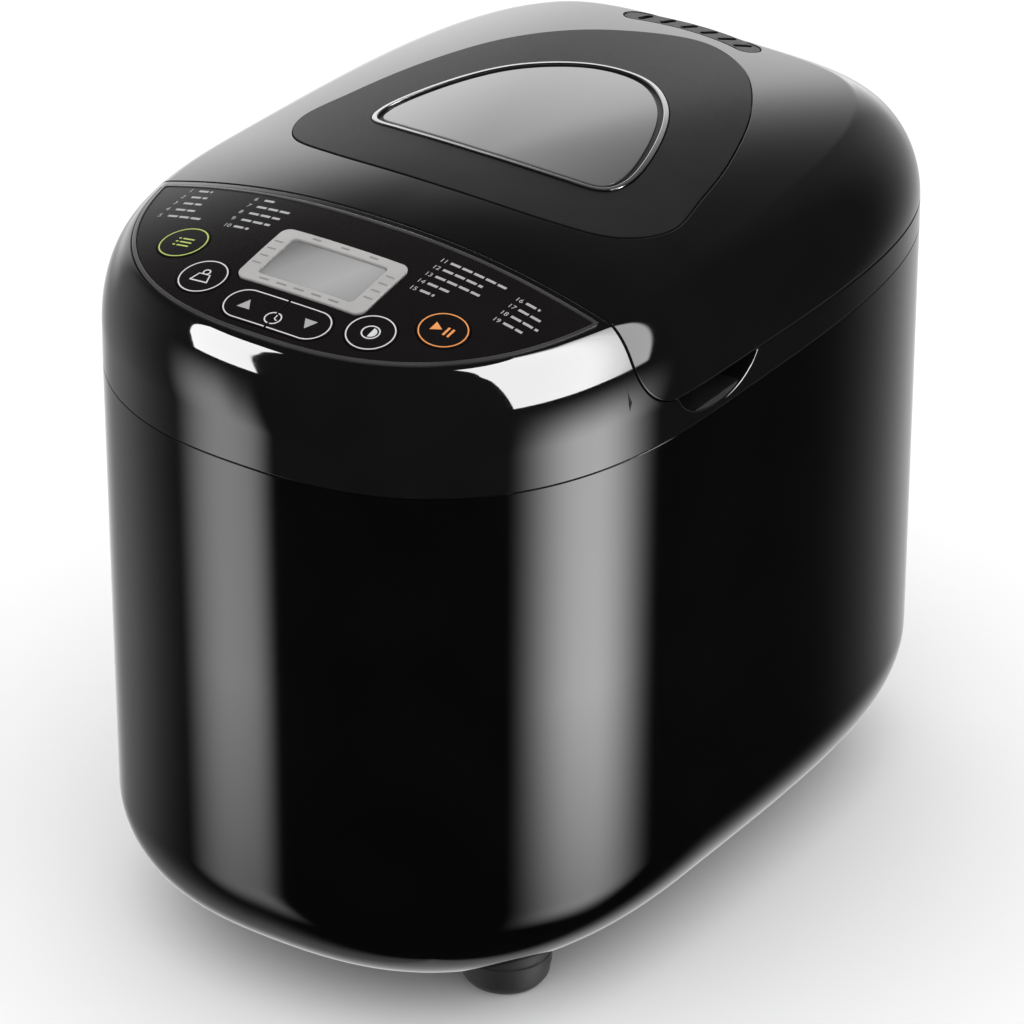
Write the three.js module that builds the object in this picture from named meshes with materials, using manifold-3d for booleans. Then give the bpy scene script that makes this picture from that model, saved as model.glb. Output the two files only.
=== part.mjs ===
// Countertop bread machine, in millimetres, +Z up.
// Origin: bottom centre of the machine. Front (control panel) faces -Y, hinge side is +Y.
import * as THREE from 'three';
import { mergeVertices } from 'three/addons/utils/BufferGeometryUtils.js';
import Module from 'manifold-3d';

const wasm = await Module();
wasm.setup();

// ---------------------------------------------------------------- driving dimensions
const GAP = 0.3; // clearance between pieces that touch

// Plan outline: two half superellipses that meet on the widest line.
const HALF_WIDTH = 115;
const WIDEST_Y = -33.6;
const FRONT_DEPTH = 136;
const FRONT_POWER = 2.45;
const BACK_DEPTH = 203.2;
const BACK_POWER = 3.7;
const RING_POINTS = 36;

// Heights of the housing.
const BODY_BOTTOM = 12.4;
const BOTTOM_RADIUS = 40;
const SEAM_Z = 228;
const SEAM_SLOPE = -0.018;
const TAPER = 0.01;
const WALL = 2.6;

// Lid line, shoulder and dome.
const LID_LINE_Z = 241.8;
const LID_LINE_SLOPE = -0.036;
const LID_FRONT_Y = -80.5;
const LID_CORNER = 22;
const CREASE_INSET = 15.6;
const CREASE_INSET_SLOPE = 0.05;
const CREASE_Z = 278;
const DOME_RISE = 16.7;

// Oven chamber and bread pan, both centred on the drive axis.
const DRIVE_Y = 33;
const CHAMBER = { halfX: 90, halfY: 103, radius: 28, floor: 58, top: 233, sheet: 0.9 };
const PAN = { halfX: 66, halfY: 88, radius: 24, bottom: 78, top: 214, draft: 6, wall: 1.5 };
const DECK = { low: 230, high: 232.6 };

// Hinge.
const HINGE_Y = 160;
const HINGE_Z = 239;
const HINGE_RELIEF = 12.3;
const HINGE_RELIEF_HALF = 76;
const KNUCKLE = 4.2;

// Belt drive.
const MOTOR_Y = -118;
const BIG_PULLEY = 48;
const SMALL_PULLEY = 8;
const BELT_LOW = 29;
const BELT_HIGH = 37;
const BELT_THICK = 2;
const BELT_GAP = 0.8;
const CHASSIS_Z = 48;

// Control panel.
const PANEL_THICK = 2.1;
const PANEL_RECESS = 2.4;
const PANEL_FLOOR = 5;
const KEY_RADIUS = 9.7;
const KEY_THICK = 1.35;
const KEY_PROUD = 0.25;
const KEY_STEM_END = 272.2;
const BOARD_Z = 268;
const ROUND_KEYS = [
  { name: 'menu_key', x: -58.6, y: -122.8 },
  { name: 'weight_key', x: -38.2, y: -138.8 },
  { name: 'colour_key', x: 36, y: -139.8 },
  { name: 'start_key', x: 57, y: -125 },
];
const TIMER = { y: -146.4, halfLength: 22.8, halfWidth: 8.4, stemX: 12 };
const LCD = { y: -118.4, halfX: 27.8, halfY: 16.1, glassX: 20.9, glassY: 11.6 };

// ---------------------------------------------------------------- materials
const material = (color, roughness, metalness = 0) =>
  new THREE.MeshStandardMaterial({ color, roughness, metalness });
const glossBlack = () => material(0x0b0b0c, 0.12);
const matteBlack = () => material(0x202123, 0.6);
const rubber = () => material(0x2a2b2d, 0.75);
const greyPlastic = () => material(0xb4b8ba, 0.35);
const steel = () => material(0xa9acb0, 0.35, 1);
const aluminium = () => material(0xb8babd, 0.4, 1);
const nonStick = () => material(0x3a3b3e, 0.45, 0.3);
const circuitGreen = () => material(0x1d5a36, 0.5);
const glass = () => material(0x8f979b, 0.05);

// ---------------------------------------------------------------- solids
const root = new THREE.Group();

// A closed geometry as a solid, with its shared vertices merged.
function solid(geometry) {
  const bare = new THREE.BufferGeometry();
  bare.setAttribute('position', geometry.getAttribute('position').clone());
  if (geometry.index) bare.setIndex(geometry.index.clone());
  const merged = mergeVertices(bare, 1e-4);
  const index = merged.index.array;
  const triangles = [];
  for (let i = 0; i < index.length; i += 3) {
    const [a, b, c] = index.slice(i, i + 3);
    if (a !== b && b !== c && a !== c) triangles.push(a, b, c);
  }
  return new wasm.Manifold(new wasm.Mesh({
    numProp: 3,
    vertProperties: new Float32Array(merged.getAttribute('position').array),
    triVerts: new Uint32Array(triangles),
  }));
}

// Adds a solid to the model as a named mesh.
function part(name, body, look) {
  const mesh = body.getMesh();
  const geometry = new THREE.BufferGeometry();
  geometry.setAttribute('position', new THREE.BufferAttribute(mesh.vertProperties, 3));
  geometry.setIndex(new THREE.BufferAttribute(mesh.triVerts, 1));
  geometry.computeVertexNormals();
  const node = new THREE.Mesh(geometry, look);
  node.name = name;
  root.add(node);
}

const join = (first, ...rest) => rest.reduce((sum, next) => sum.add(next), first);
const cut = (first, ...rest) => rest.reduce((sum, next) => sum.subtract(next), first);

function box(x0, x1, y0, y1, z0, z1) {
  const geometry = new THREE.BoxGeometry(x1 - x0, y1 - y0, z1 - z0);
  return solid(geometry.translate((x0 + x1) / 2, (y0 + y1) / 2, (z0 + z1) / 2));
}

// Upright cylinder or cone frustum.
function cylinder(x, y, z0, z1, radius, sides = 20, topRadius = radius) {
  const geometry = new THREE.CylinderGeometry(topRadius, radius, z1 - z0, sides);
  return solid(geometry.rotateX(Math.PI / 2).translate(x, y, (z0 + z1) / 2));
}

// Cylinder along X, and along Y.
function cylinderX(x0, x1, y, z, radius, sides = 24) {
  const geometry = new THREE.CylinderGeometry(radius, radius, x1 - x0, sides);
  return solid(geometry.rotateZ(Math.PI / 2).translate((x0 + x1) / 2, y, z));
}
function cylinderY(y0, y1, x, z, radius, sides = 20) {
  const geometry = new THREE.CylinderGeometry(radius, radius, y1 - y0, sides);
  return solid(geometry.translate(x, (y0 + y1) / 2, z));
}

// Flat shape given a thickness, from z = 0 upwards.
function extruded(shape, depth, curveSegments) {
  return new THREE.ExtrudeGeometry(shape, { depth, bevelEnabled: false, curveSegments });
}

// Plan shape raised between two heights.
function prism(shape, z0, z1, curveSegments = 4) {
  return solid(extruded(shape, z1 - z0, curveSegments).translate(0, 0, z0));
}

// Side shape, drawn as (y, z), spread between two x values.
function sidePrism(shape, x0, x1, curveSegments = 6) {
  const axes = new THREE.Matrix4().makeBasis(
    new THREE.Vector3(0, 1, 0), new THREE.Vector3(0, 0, 1), new THREE.Vector3(1, 0, 0));
  return solid(extruded(shape, x1 - x0, curveSegments).applyMatrix4(axes).translate(x0, 0, 0));
}

// Plan shape raised between two offsets from the sloping lid line.
function lidSlab(shape, low, high, curveSegments = 4) {
  const shear = new THREE.Matrix4().set(
    1, 0, 0, 0,
    0, 1, 0, 0,
    0, LID_LINE_SLOPE, 1, lidLine(0) + low,
    0, 0, 0, 1);
  return solid(extruded(shape, high - low, curveSegments).applyMatrix4(shear));
}

// Profile of (radius, z) points turned about an upright axis.
function turned(profile, x, y, sides = 24) {
  const points = profile.map(([r, z]) => new THREE.Vector2(r, z));
  points.push(points[0].clone());
  return solid(new THREE.LatheGeometry(points, sides).rotateX(Math.PI / 2).translate(x, y, 0));
}

// Round rod of the given radius along a curve.
function rod(curve, radius, steps, quarters = 3) {
  const section = new THREE.Shape();
  section.absarc(0, 0, radius, 0, Math.PI * 2);
  return solid(new THREE.ExtrudeGeometry(section, {
    steps, extrudePath: curve, bevelEnabled: false, curveSegments: quarters,
  }));
}

function roundedRectangle(halfX, halfY, radius, x = 0, y = 0) {
  const shape = new THREE.Shape();
  shape.absarc(x + halfX - radius, y - halfY + radius, radius, -Math.PI / 2, 0);
  shape.absarc(x + halfX - radius, y + halfY - radius, radius, 0, Math.PI / 2);
  shape.absarc(x - halfX + radius, y + halfY - radius, radius, Math.PI / 2, Math.PI);
  shape.absarc(x - halfX + radius, y - halfY + radius, radius, Math.PI, Math.PI * 1.5);
  shape.closePath();
  return shape;
}

// Closed mirror-symmetric outline through points given for x >= 0, grown by an offset.
function mirroredOutline(halfPoints, grow = 0) {
  const right = halfPoints.map(([x, y]) => new THREE.Vector2(x, y));
  const left = right.slice(1, -1).reverse().map((p) => new THREE.Vector2(-p.x, p.y));
  const loop = new THREE.CatmullRomCurve3(
    [...right, ...left].map((p) => new THREE.Vector3(p.x, p.y, 0)), true, 'centripetal');
  const count = 24;
  const points = [];
  for (let i = 0; i < count; i += 1) {
    const p = loop.getPoint(i / count);
    const t = loop.getTangent(i / count);
    points.push(new THREE.Vector2(p.x + t.y * grow, p.y - t.x * grow));
  }
  return new THREE.Shape(points);
}

// ---------------------------------------------------------------- housing surfaces
const seam = (y) => SEAM_Z + SEAM_SLOPE * (y - WIDEST_Y);
const lidLine = (y) => LID_LINE_Z + LID_LINE_SLOPE * (y - WIDEST_Y);
const creaseInset = (y) => CREASE_INSET + CREASE_INSET_SLOPE * (y - WIDEST_Y);
const creaseZ = (y) => CREASE_Z - 0.005 * (y - WIDEST_Y) - 0.000064 * (y - WIDEST_Y) ** 2;

// Points of the plan outline with their outward normals.
function planPoints() {
  const points = [];
  for (let i = 0; i < RING_POINTS; i += 1) {
    const angle = (i / RING_POINTS) * Math.PI * 2;
    const [c, s] = [Math.cos(angle), Math.sin(angle)];
    const [depth, power] = s < 0 ? [FRONT_DEPTH, FRONT_POWER] : [BACK_DEPTH, BACK_POWER];
    const x = Math.sign(c) * Math.abs(c) ** (2 / power);
    const y = Math.sign(s) * Math.abs(s) ** (2 / power);
    const normal = new THREE.Vector2(
      (Math.sign(x) * Math.abs(x) ** (power - 1)) / HALF_WIDTH,
      (Math.sign(y) * Math.abs(y) ** (power - 1)) / depth).normalize();
    points.push({ x: x * HALF_WIDTH, y: y * depth + WIDEST_Y, normal });
  }
  return points;
}
const PLAN = planPoints();

// One ring of the housing: inset and height may depend on the outline point.
function ring(insetAt, heightAt) {
  return PLAN.map((p) => {
    const inset = insetAt(p.y);
    return new THREE.Vector3(p.x - p.normal.x * inset, p.y - p.normal.y * inset, heightAt(p.y));
  });
}

// Plan outline moved inwards, as a shape.
function planShape(insetAt) {
  return new THREE.Shape(ring(insetAt, () => 0).map((p) => new THREE.Vector2(p.x, p.y)));
}

// Closed solid through a stack of rings, bottom to top, each end closed at a middle point.
function stack(rings) {
  const middle = (points) => {
    const z = (points[0].z + points[RING_POINTS / 2].z) / 2;
    return new THREE.Vector3(0, WIDEST_Y, z);
  };
  const points = [middle(rings[0]), ...rings.flat(), middle(rings[rings.length - 1])];
  const last = points.length - 1;
  const index = [];
  const at = (level, i) => 1 + level * RING_POINTS + (i % RING_POINTS);
  for (let i = 0; i < RING_POINTS; i += 1) {
    index.push(0, at(0, i + 1), at(0, i));
    index.push(last, at(rings.length - 1, i), at(rings.length - 1, i + 1));
    for (let level = 0; level < rings.length - 1; level += 1) {
      index.push(at(level, i), at(level, i + 1), at(level + 1, i + 1));
      index.push(at(level, i), at(level + 1, i + 1), at(level + 1, i));
    }
  }
  return solid(new THREE.BufferGeometry().setFromPoints(points).setIndex(index));
}

// Everything inside the top housing and lid surface, moved inwards by depth.
function topSolid(depth) {
  const rings = [
    ring(() => depth, (y) => seam(y) - (depth > 0 ? 1 : 0)),
    ring(() => depth, lidLine),
  ];
  const shoulderSteps = 3;
  for (let i = 1; i <= shoulderSteps; i += 1) {
    const angle = (i / shoulderSteps) * (Math.PI / 2);
    rings.push(ring(
      (y) => depth + (creaseInset(y) - depth) * (1 - Math.cos(angle)),
      (y) => lidLine(y) + (creaseZ(y) - depth - lidLine(y)) * Math.sin(angle)));
  }
  const crease = ring(creaseInset, () => 0);
  const domeSteps = 3;
  for (let i = 1; i < domeSteps; i += 1) {
    const k = 1 - i / domeSteps;
    rings.push(crease.map((p) => {
      const y = WIDEST_Y + (p.y - WIDEST_Y) * k;
      return new THREE.Vector3(p.x * k, y, creaseZ(y) - depth + DOME_RISE * (1 - k * k));
    }));
  }
  const top = stack(rings);
  const peak = CREASE_Z + DOME_RISE - depth;
  const lastRing = rings[rings.length - 1];
  const innerRing = lastRing.map((p) => {
    const y = WIDEST_Y + (p.y - WIDEST_Y) / 2;
    return new THREE.Vector3(p.x / 2, y, (p.z + peak) / 2);
  });
  return top.add(stack([lastRing, innerRing]));
}

// Everything inside the lower body surface, moved inwards by depth.
function bodySolid(depth) {
  const rings = [];
  const arcSteps = 3;
  const radius = BOTTOM_RADIUS - depth;
  const foot = TAPER * (SEAM_Z - BODY_BOTTOM - BOTTOM_RADIUS);
  for (let i = 0; i <= arcSteps; i += 1) {
    const angle = (1 - i / arcSteps) * (Math.PI / 2);
    rings.push(ring(
      () => foot + depth + radius * (1 - Math.cos(angle)),
      () => BODY_BOTTOM + BOTTOM_RADIUS - radius * Math.sin(angle)));
  }
  const lift = depth > 0 ? 1 : -GAP;
  rings.push(ring(() => depth, (y) => seam(y) + lift));
  return stack(rings);
}

const TOP = topSolid(0);
const TOP_INNER = topSolid(WALL);
const BODY = bodySolid(0);
const between = (outerDepth, innerDepth) => topSolid(outerDepth).subtract(topSolid(innerDepth));

// Room that belongs to the lid, shrunk by a clearance.
function lidZone(clearance) {
  const front = LID_FRONT_Y + clearance;
  const corner = front + LID_CORNER;
  const shape = new THREE.Shape();
  shape.moveTo(front, 320);
  shape.lineTo(front, lidLine(front) + LID_CORNER + clearance);
  shape.quadraticCurveTo(front, lidLine(front) + clearance, corner, lidLine(corner) + clearance);
  shape.lineTo(190, lidLine(190) + clearance);
  shape.lineTo(190, 320);
  shape.closePath();
  return sidePrism(shape, -130, 130);
}

// ---------------------------------------------------------------- lower body
const GRILLE = { halfX: 42, low: 78, high: 122 };
const GLAND = { x: -62, z: 66, radius: 8 };
const FEET = [
  { name: 'foot_front_left', x: -65, y: -98 },
  { name: 'foot_front_right', x: 65, y: -98 },
  { name: 'foot_rear_left', x: -62, y: 114 },
  { name: 'foot_rear_right', x: 62, y: 114 },
];
const FOOT_RADIUS = 17.5;

// Shape on the back wall, drawn as (x, z), as a bar along Y through the wall.
function backBar(halfX, low, high, radius) {
  const shape = roundedRectangle(halfX, (high - low) / 2, radius, 0, (high + low) / 2);
  return solid(extruded(shape, 40, 4).rotateX(Math.PI / 2).translate(0, 185, 0));
}

function outerBody() {
  const opening = prism(planShape(() => BOTTOM_RADIUS + 6), 0, 30);
  const grilleHole = backBar(GRILLE.halfX + GAP, GRILLE.low - GAP, GRILLE.high + GAP, 6);
  const glandHole = cylinderY(140, 180, GLAND.x, GLAND.z, GLAND.radius + GAP);
  let shell = cut(BODY, bodySolid(WALL), opening, grilleHole, glandHole);
  for (const foot of FEET) shell = shell.subtract(cylinder(foot.x, foot.y, 0, 30, 5 + GAP, 12));
  part('outer_body', shell, glossBlack());
}

function basePlate() {
  const plug = prism(planShape(() => BOTTOM_RADIUS + 6 + GAP), BODY_BOTTOM, 17.4);
  const flange = prism(planShape(() => BOTTOM_RADIUS - 4), 17, 19.2);
  let plate = plug.add(flange);
  for (const foot of FEET) plate = plate.subtract(cylinder(foot.x, foot.y, 0, 30, 5 + GAP, 12));
  for (let i = -3; i <= 3; i += 1) {
    plate = plate.subtract(box(i * 9 - 2.5, i * 9 + 2.5, 46, 98, 0, 30));
  }
  part('base_plate', plate, matteBlack());
}

function feet() {
  const profile = [
    [0, 0], [11.5, 0], [14.6, 1.2], [16.6, 4], [FOOT_RADIUS, 8.5], [FOOT_RADIUS, 22], [0, 22],
  ];
  for (const foot of FEET) {
    const pad = turned(profile, foot.x, foot.y, 20).subtract(bodySolid(-GAP));
    const stem = cylinder(foot.x, foot.y, 10, 23, 5, 12);
    part(foot.name, pad.add(stem), rubber());
  }
}

function rearGrille() {
  let grille = bodySolid(-0.6).subtract(bodySolid(WALL));
  grille = grille.intersect(backBar(GRILLE.halfX, GRILLE.low, GRILLE.high, 6));
  const slots = 9;
  for (let i = 0; i < slots; i += 1) {
    const x = (i - (slots - 1) / 2) * 8.6;
    grille = grille.subtract(box(x - 2.2, x + 2.2, 145, 185, GRILLE.low + 6, GRILLE.high - 6));
  }
  part('rear_grille', grille, matteBlack());
}

function cordGland() {
  const collar = cylinderY(150, 167.5, GLAND.x, GLAND.z, 12).subtract(bodySolid(-GAP));
  const neck = cylinderY(150, 166.5, GLAND.x, GLAND.z, GLAND.radius);
  const bore = cylinderY(140, 180, GLAND.x, GLAND.z, 4.2);
  part('cord_gland', collar.add(neck).subtract(bore), rubber());
}

// ---------------------------------------------------------------- top housing
// D-shaped zone of the control panel, a distance in from its recess edge.
function panelZone(distance) {
  const plan = prism(planShape((y) => creaseInset(y) + 0.8 + distance), 250, 320);
  return plan.intersect(box(-130, 130, -180, -83.3 - distance, 240, 330));
}

function timerPill(grow = 0) {
  const [halfLength, halfWidth] = [TIMER.halfLength + grow, TIMER.halfWidth + grow];
  return prism(roundedRectangle(halfLength, halfWidth, halfWidth, 0, TIMER.y), 240, 320);
}
const displayBlock = (halfX, halfY, radius) =>
  prism(roundedRectangle(halfX, halfY, radius, 0, LCD.y), 240, 320, 3);

// Side outline of a finger notch under the lid edge.
function notchShape(grow) {
  const shape = new THREE.Shape();
  shape.absellipse(-33.5, 245.5, 25.5 + grow, 15.3 + grow, 0, Math.PI * 2);
  return shape;
}

function fingerNotch(side) {
  const [inner, outer] = side > 0 ? [101.8, 130] : [-130, -101.8];
  const [wallLow, wallHigh] = side > 0 ? [99.6, 130] : [-130, -99.6];
  return {
    pocket: sidePrism(notchShape(2), wallLow, wallHigh),
    room: sidePrism(notchShape(0), inner, outer),
  };
}

function topHousing() {
  const shell = TOP.subtract(TOP_INNER);
  const deckOpening = prism(roundedRectangle(
    CHAMBER.halfX + 2.4, CHAMBER.halfY + 2.4, CHAMBER.radius + 2, 0, DRIVE_Y), 200, 260);
  const deck = box(-130, 130, -86, 180, DECK.low, DECK.high);
  const bulkhead = box(-130, 130, -86, -83.4, DECK.low, 320);
  const inside = topSolid(1);
  const panelFloor = between(PANEL_RECESS - 0.2, PANEL_FLOOR).intersect(panelZone(-2.2));
  const troughHalf = HINGE_RELIEF_HALF + 2;
  const trough = cylinderX(-troughHalf, troughHalf, HINGE_Y, HINGE_Z, HINGE_RELIEF + 1.9)
    .intersect(box(-130, 130, 140, 180, 200, DECK.high));
  let housing = join(
    shell,
    deck.subtract(deckOpening).intersect(inside),
    bulkhead.intersect(inside),
    panelFloor,
    trough.intersect(topSolid(0.8)));
  for (const side of [-1, 1]) {
    const notch = fingerNotch(side);
    const pocket = notch.pocket.intersect(inside).subtract(box(-130, 130, -90, 60, 243.2, 300));
    housing = housing.add(pocket).subtract(notch.room);
  }
  housing = cut(housing, lidZone(0),
    cylinderX(-HINGE_RELIEF_HALF, HINGE_RELIEF_HALF, HINGE_Y, HINGE_Z, HINGE_RELIEF),
    topSolid(-3).subtract(topSolid(PANEL_RECESS)).intersect(panelZone(0)),
    displayBlock(LCD.halfX - 3, LCD.halfY - 3, 2));
  for (const key of ROUND_KEYS) housing = housing.subtract(cylinder(key.x, key.y, 240, 320, 3.2, 8));
  for (const side of [-1, 1]) {
    housing = housing.subtract(cylinder(side * TIMER.stemX, TIMER.y, 240, 320, 3.2, 8));
  }
  part('top_housing', housing, glossBlack());
}

function panelBezel() {
  const strip = between(-0.3, PANEL_THICK).intersect(panelZone(GAP).subtract(panelZone(1.9)));
  part('panel_bezel', strip, material(0x4a4c4f, 0.3));
}

function controlPanel() {
  let film = between(0, PANEL_THICK).intersect(panelZone(2.2));
  film = cut(film, displayBlock(LCD.halfX + GAP, LCD.halfY + GAP, 4), timerPill(GAP));
  for (const key of ROUND_KEYS) {
    film = film.subtract(cylinder(key.x, key.y, 240, 320, KEY_RADIUS + GAP, 20));
  }
  part('control_panel', film, material(0x1c1a1b, 0.25));
}

function display() {
  const frame = displayBlock(LCD.halfX, LCD.halfY, 4).subtract(displayBlock(LCD.glassX, LCD.glassY, 2));
  part('lcd_frame', frame.intersect(between(-0.7, PANEL_THICK)), greyPlastic());
  const pane = displayBlock(LCD.glassX - GAP, LCD.glassY - GAP, 1.6);
  part('lcd_display', pane.intersect(between(0.4, PANEL_THICK)), material(0x8d9494, 0.15));
}

function keys() {
  const cap = between(-KEY_PROUD, KEY_THICK);
  const inner = topSolid(0.4);
  const stem = (x, y) => cylinder(x, y, KEY_STEM_END, 300, 2.4, 8).intersect(inner);
  for (const key of ROUND_KEYS) {
    const disc = cylinder(key.x, key.y, 240, 320, KEY_RADIUS, 20);
    part(key.name, cap.intersect(disc).add(stem(key.x, key.y)), material(0x1c1a1b, 0.25));
  }
  for (const [name, side] of [['timer_up_key', -1], ['timer_down_key', 1]]) {
    const [x0, x1] = side < 0 ? [-60, -GAP] : [GAP, 60];
    const half = box(x0, x1, -180, -100, 240, 320);
    const pad = cap.intersect(timerPill()).intersect(half);
    part(name, pad.add(stem(side * TIMER.stemX, TIMER.y)), material(0x1c1a1b, 0.25));
  }
}

function controlBoard() {
  const outline = new THREE.Shape();
  outline.moveTo(-70, -98);
  outline.lineTo(-66, -130);
  outline.lineTo(-34, -154);
  outline.lineTo(34, -154);
  outline.lineTo(66, -130);
  outline.lineTo(70, -98);
  outline.closePath();
  let board = prism(outline, BOARD_Z, BOARD_Z + 1.6);
  const spots = [...ROUND_KEYS, { x: -TIMER.stemX, y: TIMER.y }, { x: TIMER.stemX, y: TIMER.y }];
  for (const spot of spots) {
    board = board.add(box(spot.x - 3, spot.x + 3, spot.y - 3, spot.y + 3, BOARD_Z, BOARD_Z + 3.2));
  }
  board = board.add(box(-18, 18, LCD.y - 9, LCD.y + 9, BOARD_Z, BOARD_Z + 13));
  part('control_board', board, circuitGreen());
}

// ---------------------------------------------------------------- oven chamber
const ELEMENT = { halfX: 79, halfY: 94, radius: 30, z: 86, rod: 3.3, gateX: 16 };
const SENSOR = { x: 46, z: 112 };

function chamberLiner() {
  const { halfX, halfY, radius, floor, top, sheet } = CHAMBER;
  const wall = roundedRectangle(halfX + sheet, halfY + sheet, radius + sheet, 0, DRIVE_Y);
  const room = roundedRectangle(halfX, halfY, radius, 0, DRIVE_Y);
  const lip = roundedRectangle(halfX + 6, halfY + 5.5, radius + 6, 0, DRIVE_Y);
  let liner = prism(wall, floor, top).add(prism(lip, top, top + sheet));
  liner = liner.subtract(prism(room, floor + sheet, top + 5));
  liner = liner.subtract(cylinder(0, DRIVE_Y, 50, 70, 16));
  const front = DRIVE_Y - halfY;
  for (const side of [-1, 1]) {
    const gate = side * ELEMENT.gateX;
    liner = liner.subtract(
      cylinderY(front - 9, front + 9, gate, ELEMENT.z, ELEMENT.rod + 0.6, 12));
  }
  liner = liner.subtract(cylinderY(front - 9, front + 9, SENSOR.x, SENSOR.z, 3.6, 12));
  part('chamber_liner', liner, steel());
}

function heatingElement() {
  const { halfX, halfY, radius, z, gateX } = ELEMENT;
  const front = DRIVE_Y - halfY;
  const back = DRIVE_Y + halfY;
  const path = new THREE.CurvePath();
  const at = (x, y) => new THREE.Vector3(x, y, z);
  const corner = (from, via, to) =>
    new THREE.QuadraticBezierCurve3(at(...from), at(...via), at(...to));
  const bend = 9;
  path.add(new THREE.LineCurve3(at(gateX, front - 24), at(gateX, front - bend)));
  path.add(corner([gateX, front - bend], [gateX, front], [gateX + bend, front]));
  path.add(new THREE.LineCurve3(at(gateX + bend, front), at(halfX - radius, front)));
  path.add(corner([halfX - radius, front], [halfX, front], [halfX, front + radius]));
  path.add(new THREE.LineCurve3(at(halfX, front + radius), at(halfX, back - radius)));
  path.add(corner([halfX, back - radius], [halfX, back], [halfX - radius, back]));
  path.add(new THREE.LineCurve3(at(halfX - radius, back), at(-halfX + radius, back)));
  path.add(corner([-halfX + radius, back], [-halfX, back], [-halfX, back - radius]));
  path.add(new THREE.LineCurve3(at(-halfX, back - radius), at(-halfX, front + radius)));
  path.add(corner([-halfX, front + radius], [-halfX, front], [-halfX + radius, front]));
  path.add(new THREE.LineCurve3(at(-halfX + radius, front), at(-gateX - bend, front)));
  path.add(corner([-gateX - bend, front], [-gateX, front], [-gateX, front - bend]));
  path.add(new THREE.LineCurve3(at(-gateX, front - bend), at(-gateX, front - 24)));
  part('heating_element', rod(path, ELEMENT.rod, 44), material(0x6d6762, 0.5, 0.9));
}

function elementBushes() {
  const wall = DRIVE_Y - CHAMBER.halfY - CHAMBER.sheet - GAP;
  for (const [name, side] of [['element_bush_left', -1], ['element_bush_right', 1]]) {
    const x = side * ELEMENT.gateX;
    const bush = cylinderY(wall - 8, wall, x, ELEMENT.z, 7, 20);
    const bore = cylinderY(wall - 12, wall + 4, x, ELEMENT.z, ELEMENT.rod + GAP, 12);
    part(name, bush.subtract(bore), material(0xe6e0d4, 0.6));
  }
}

function temperatureSensor() {
  const wall = DRIVE_Y - CHAMBER.halfY - CHAMBER.sheet;
  const probe = cylinderY(wall - 12, wall + 16, SENSOR.x, SENSOR.z, 2.8, 12);
  const hex = cylinderY(wall - 6, wall - GAP, SENSOR.x, SENSOR.z, 6, 6);
  part('temperature_sensor', probe.add(hex), steel());
}

function panSeat() {
  const profile = [
    [17, 59.3], [46, 59.3], [46, 61.2], [37, 61.2], [37, 72], [34.6, 72], [34.6, 61.2], [17, 61.2],
  ];
  part('pan_seat', turned(profile, 0, DRIVE_Y, 22), aluminium());
}

function panSprings() {
  const points = [
    [56, 59.3], [50, 59.3], [50, 60.5], [54.6, 60.5], [41, 74.2],
    [45, 77.2], [46, 76], [42.8, 74.2], [56, 61],
  ];
  const width = 16;
  for (const [name, side] of [['pan_spring_left', -1], ['pan_spring_right', 1]]) {
    const shape = new THREE.Shape(points.map(([x, z]) => new THREE.Vector2(side * x, z)));
    const strip = extruded(shape, width, 1).rotateX(Math.PI / 2);
    part(name, solid(strip.translate(0, DRIVE_Y + width / 2, 0)), steel());
  }
}

// ---------------------------------------------------------------- drive train
function chassis() {
  const plate = join(
    box(-40, 40, -60, 88, CHASSIS_Z, CHASSIS_Z + 2),
    box(-62, 62, -146, -58, CHASSIS_Z, CHASSIS_Z + 2));
  let frame = plate;
  for (const [x, y] of [[-34, -128], [34, -128], [-34, 82], [34, 82]]) {
    frame = frame.add(box(x - 5, x + 5, y - 5, y + 5, 19.5, CHASSIS_Z + 1));
  }
  frame = cut(frame, cylinder(0, DRIVE_Y, 40, 60, 14 + GAP), cylinder(0, MOTOR_Y, 40, 60, 9));
  part('chassis', frame, steel());
}

function shaftBearing() {
  const profile = [
    [5.3, 40], [14, 40], [14, 50.3], [22, 50.3], [22, 53], [14, 53], [14, 59], [5.3, 59],
  ];
  part('shaft_bearing', turned(profile, 0, DRIVE_Y, 16), material(0x9a7d45, 0.4, 1));
}

function driveSpindle() {
  part('drive_shaft', cylinder(0, DRIVE_Y, 24, 59.6, 5, 20), steel());
  const disc = cylinder(0, DRIVE_Y, 59.9, 63.4, 13, 28);
  const dogs = [-1, 1].map((side) => {
    const [x0, x1] = side > 0 ? [6, 11.5] : [-11.5, -6];
    const [y0, y1] = side > 0 ? [DRIVE_Y + 3.4, DRIVE_Y + 7.4] : [DRIVE_Y - 7.4, DRIVE_Y - 3.4];
    return box(x0, x1, y0, y1, 62, 71);
  });
  part('drive_coupler', join(disc, ...dogs), steel());
}

// Flanged wheel with a hub that reaches down to the shaft's end.
function pulley(name, y, radius, bore, sides) {
  const flange = radius + 3;
  const profile = [[bore, BELT_LOW - 3], [bore + 3, BELT_LOW - 3], [bore + 3, BELT_LOW - 1.6],
    [flange, BELT_LOW - 1.6], [radius, BELT_LOW - 0.4], [radius, BELT_HIGH + 0.4],
    [flange, BELT_HIGH + 1.6], [bore, BELT_HIGH + 1.6]];
  part(name, turned(profile, 0, y, sides), material(0xd8d5cc, 0.45));
}

// Loop round both pulleys, at a distance from their faces.
function beltLoop(distance) {
  const big = BIG_PULLEY + distance;
  const small = SMALL_PULLEY + distance;
  const tilt = Math.asin((big - small) / (DRIVE_Y - MOTOR_Y));
  const loop = new THREE.Shape();
  loop.absarc(0, DRIVE_Y, big, -tilt, Math.PI + tilt);
  loop.absarc(0, MOTOR_Y, small, Math.PI + tilt, Math.PI * 2 - tilt);
  loop.closePath();
  return loop;
}

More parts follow.
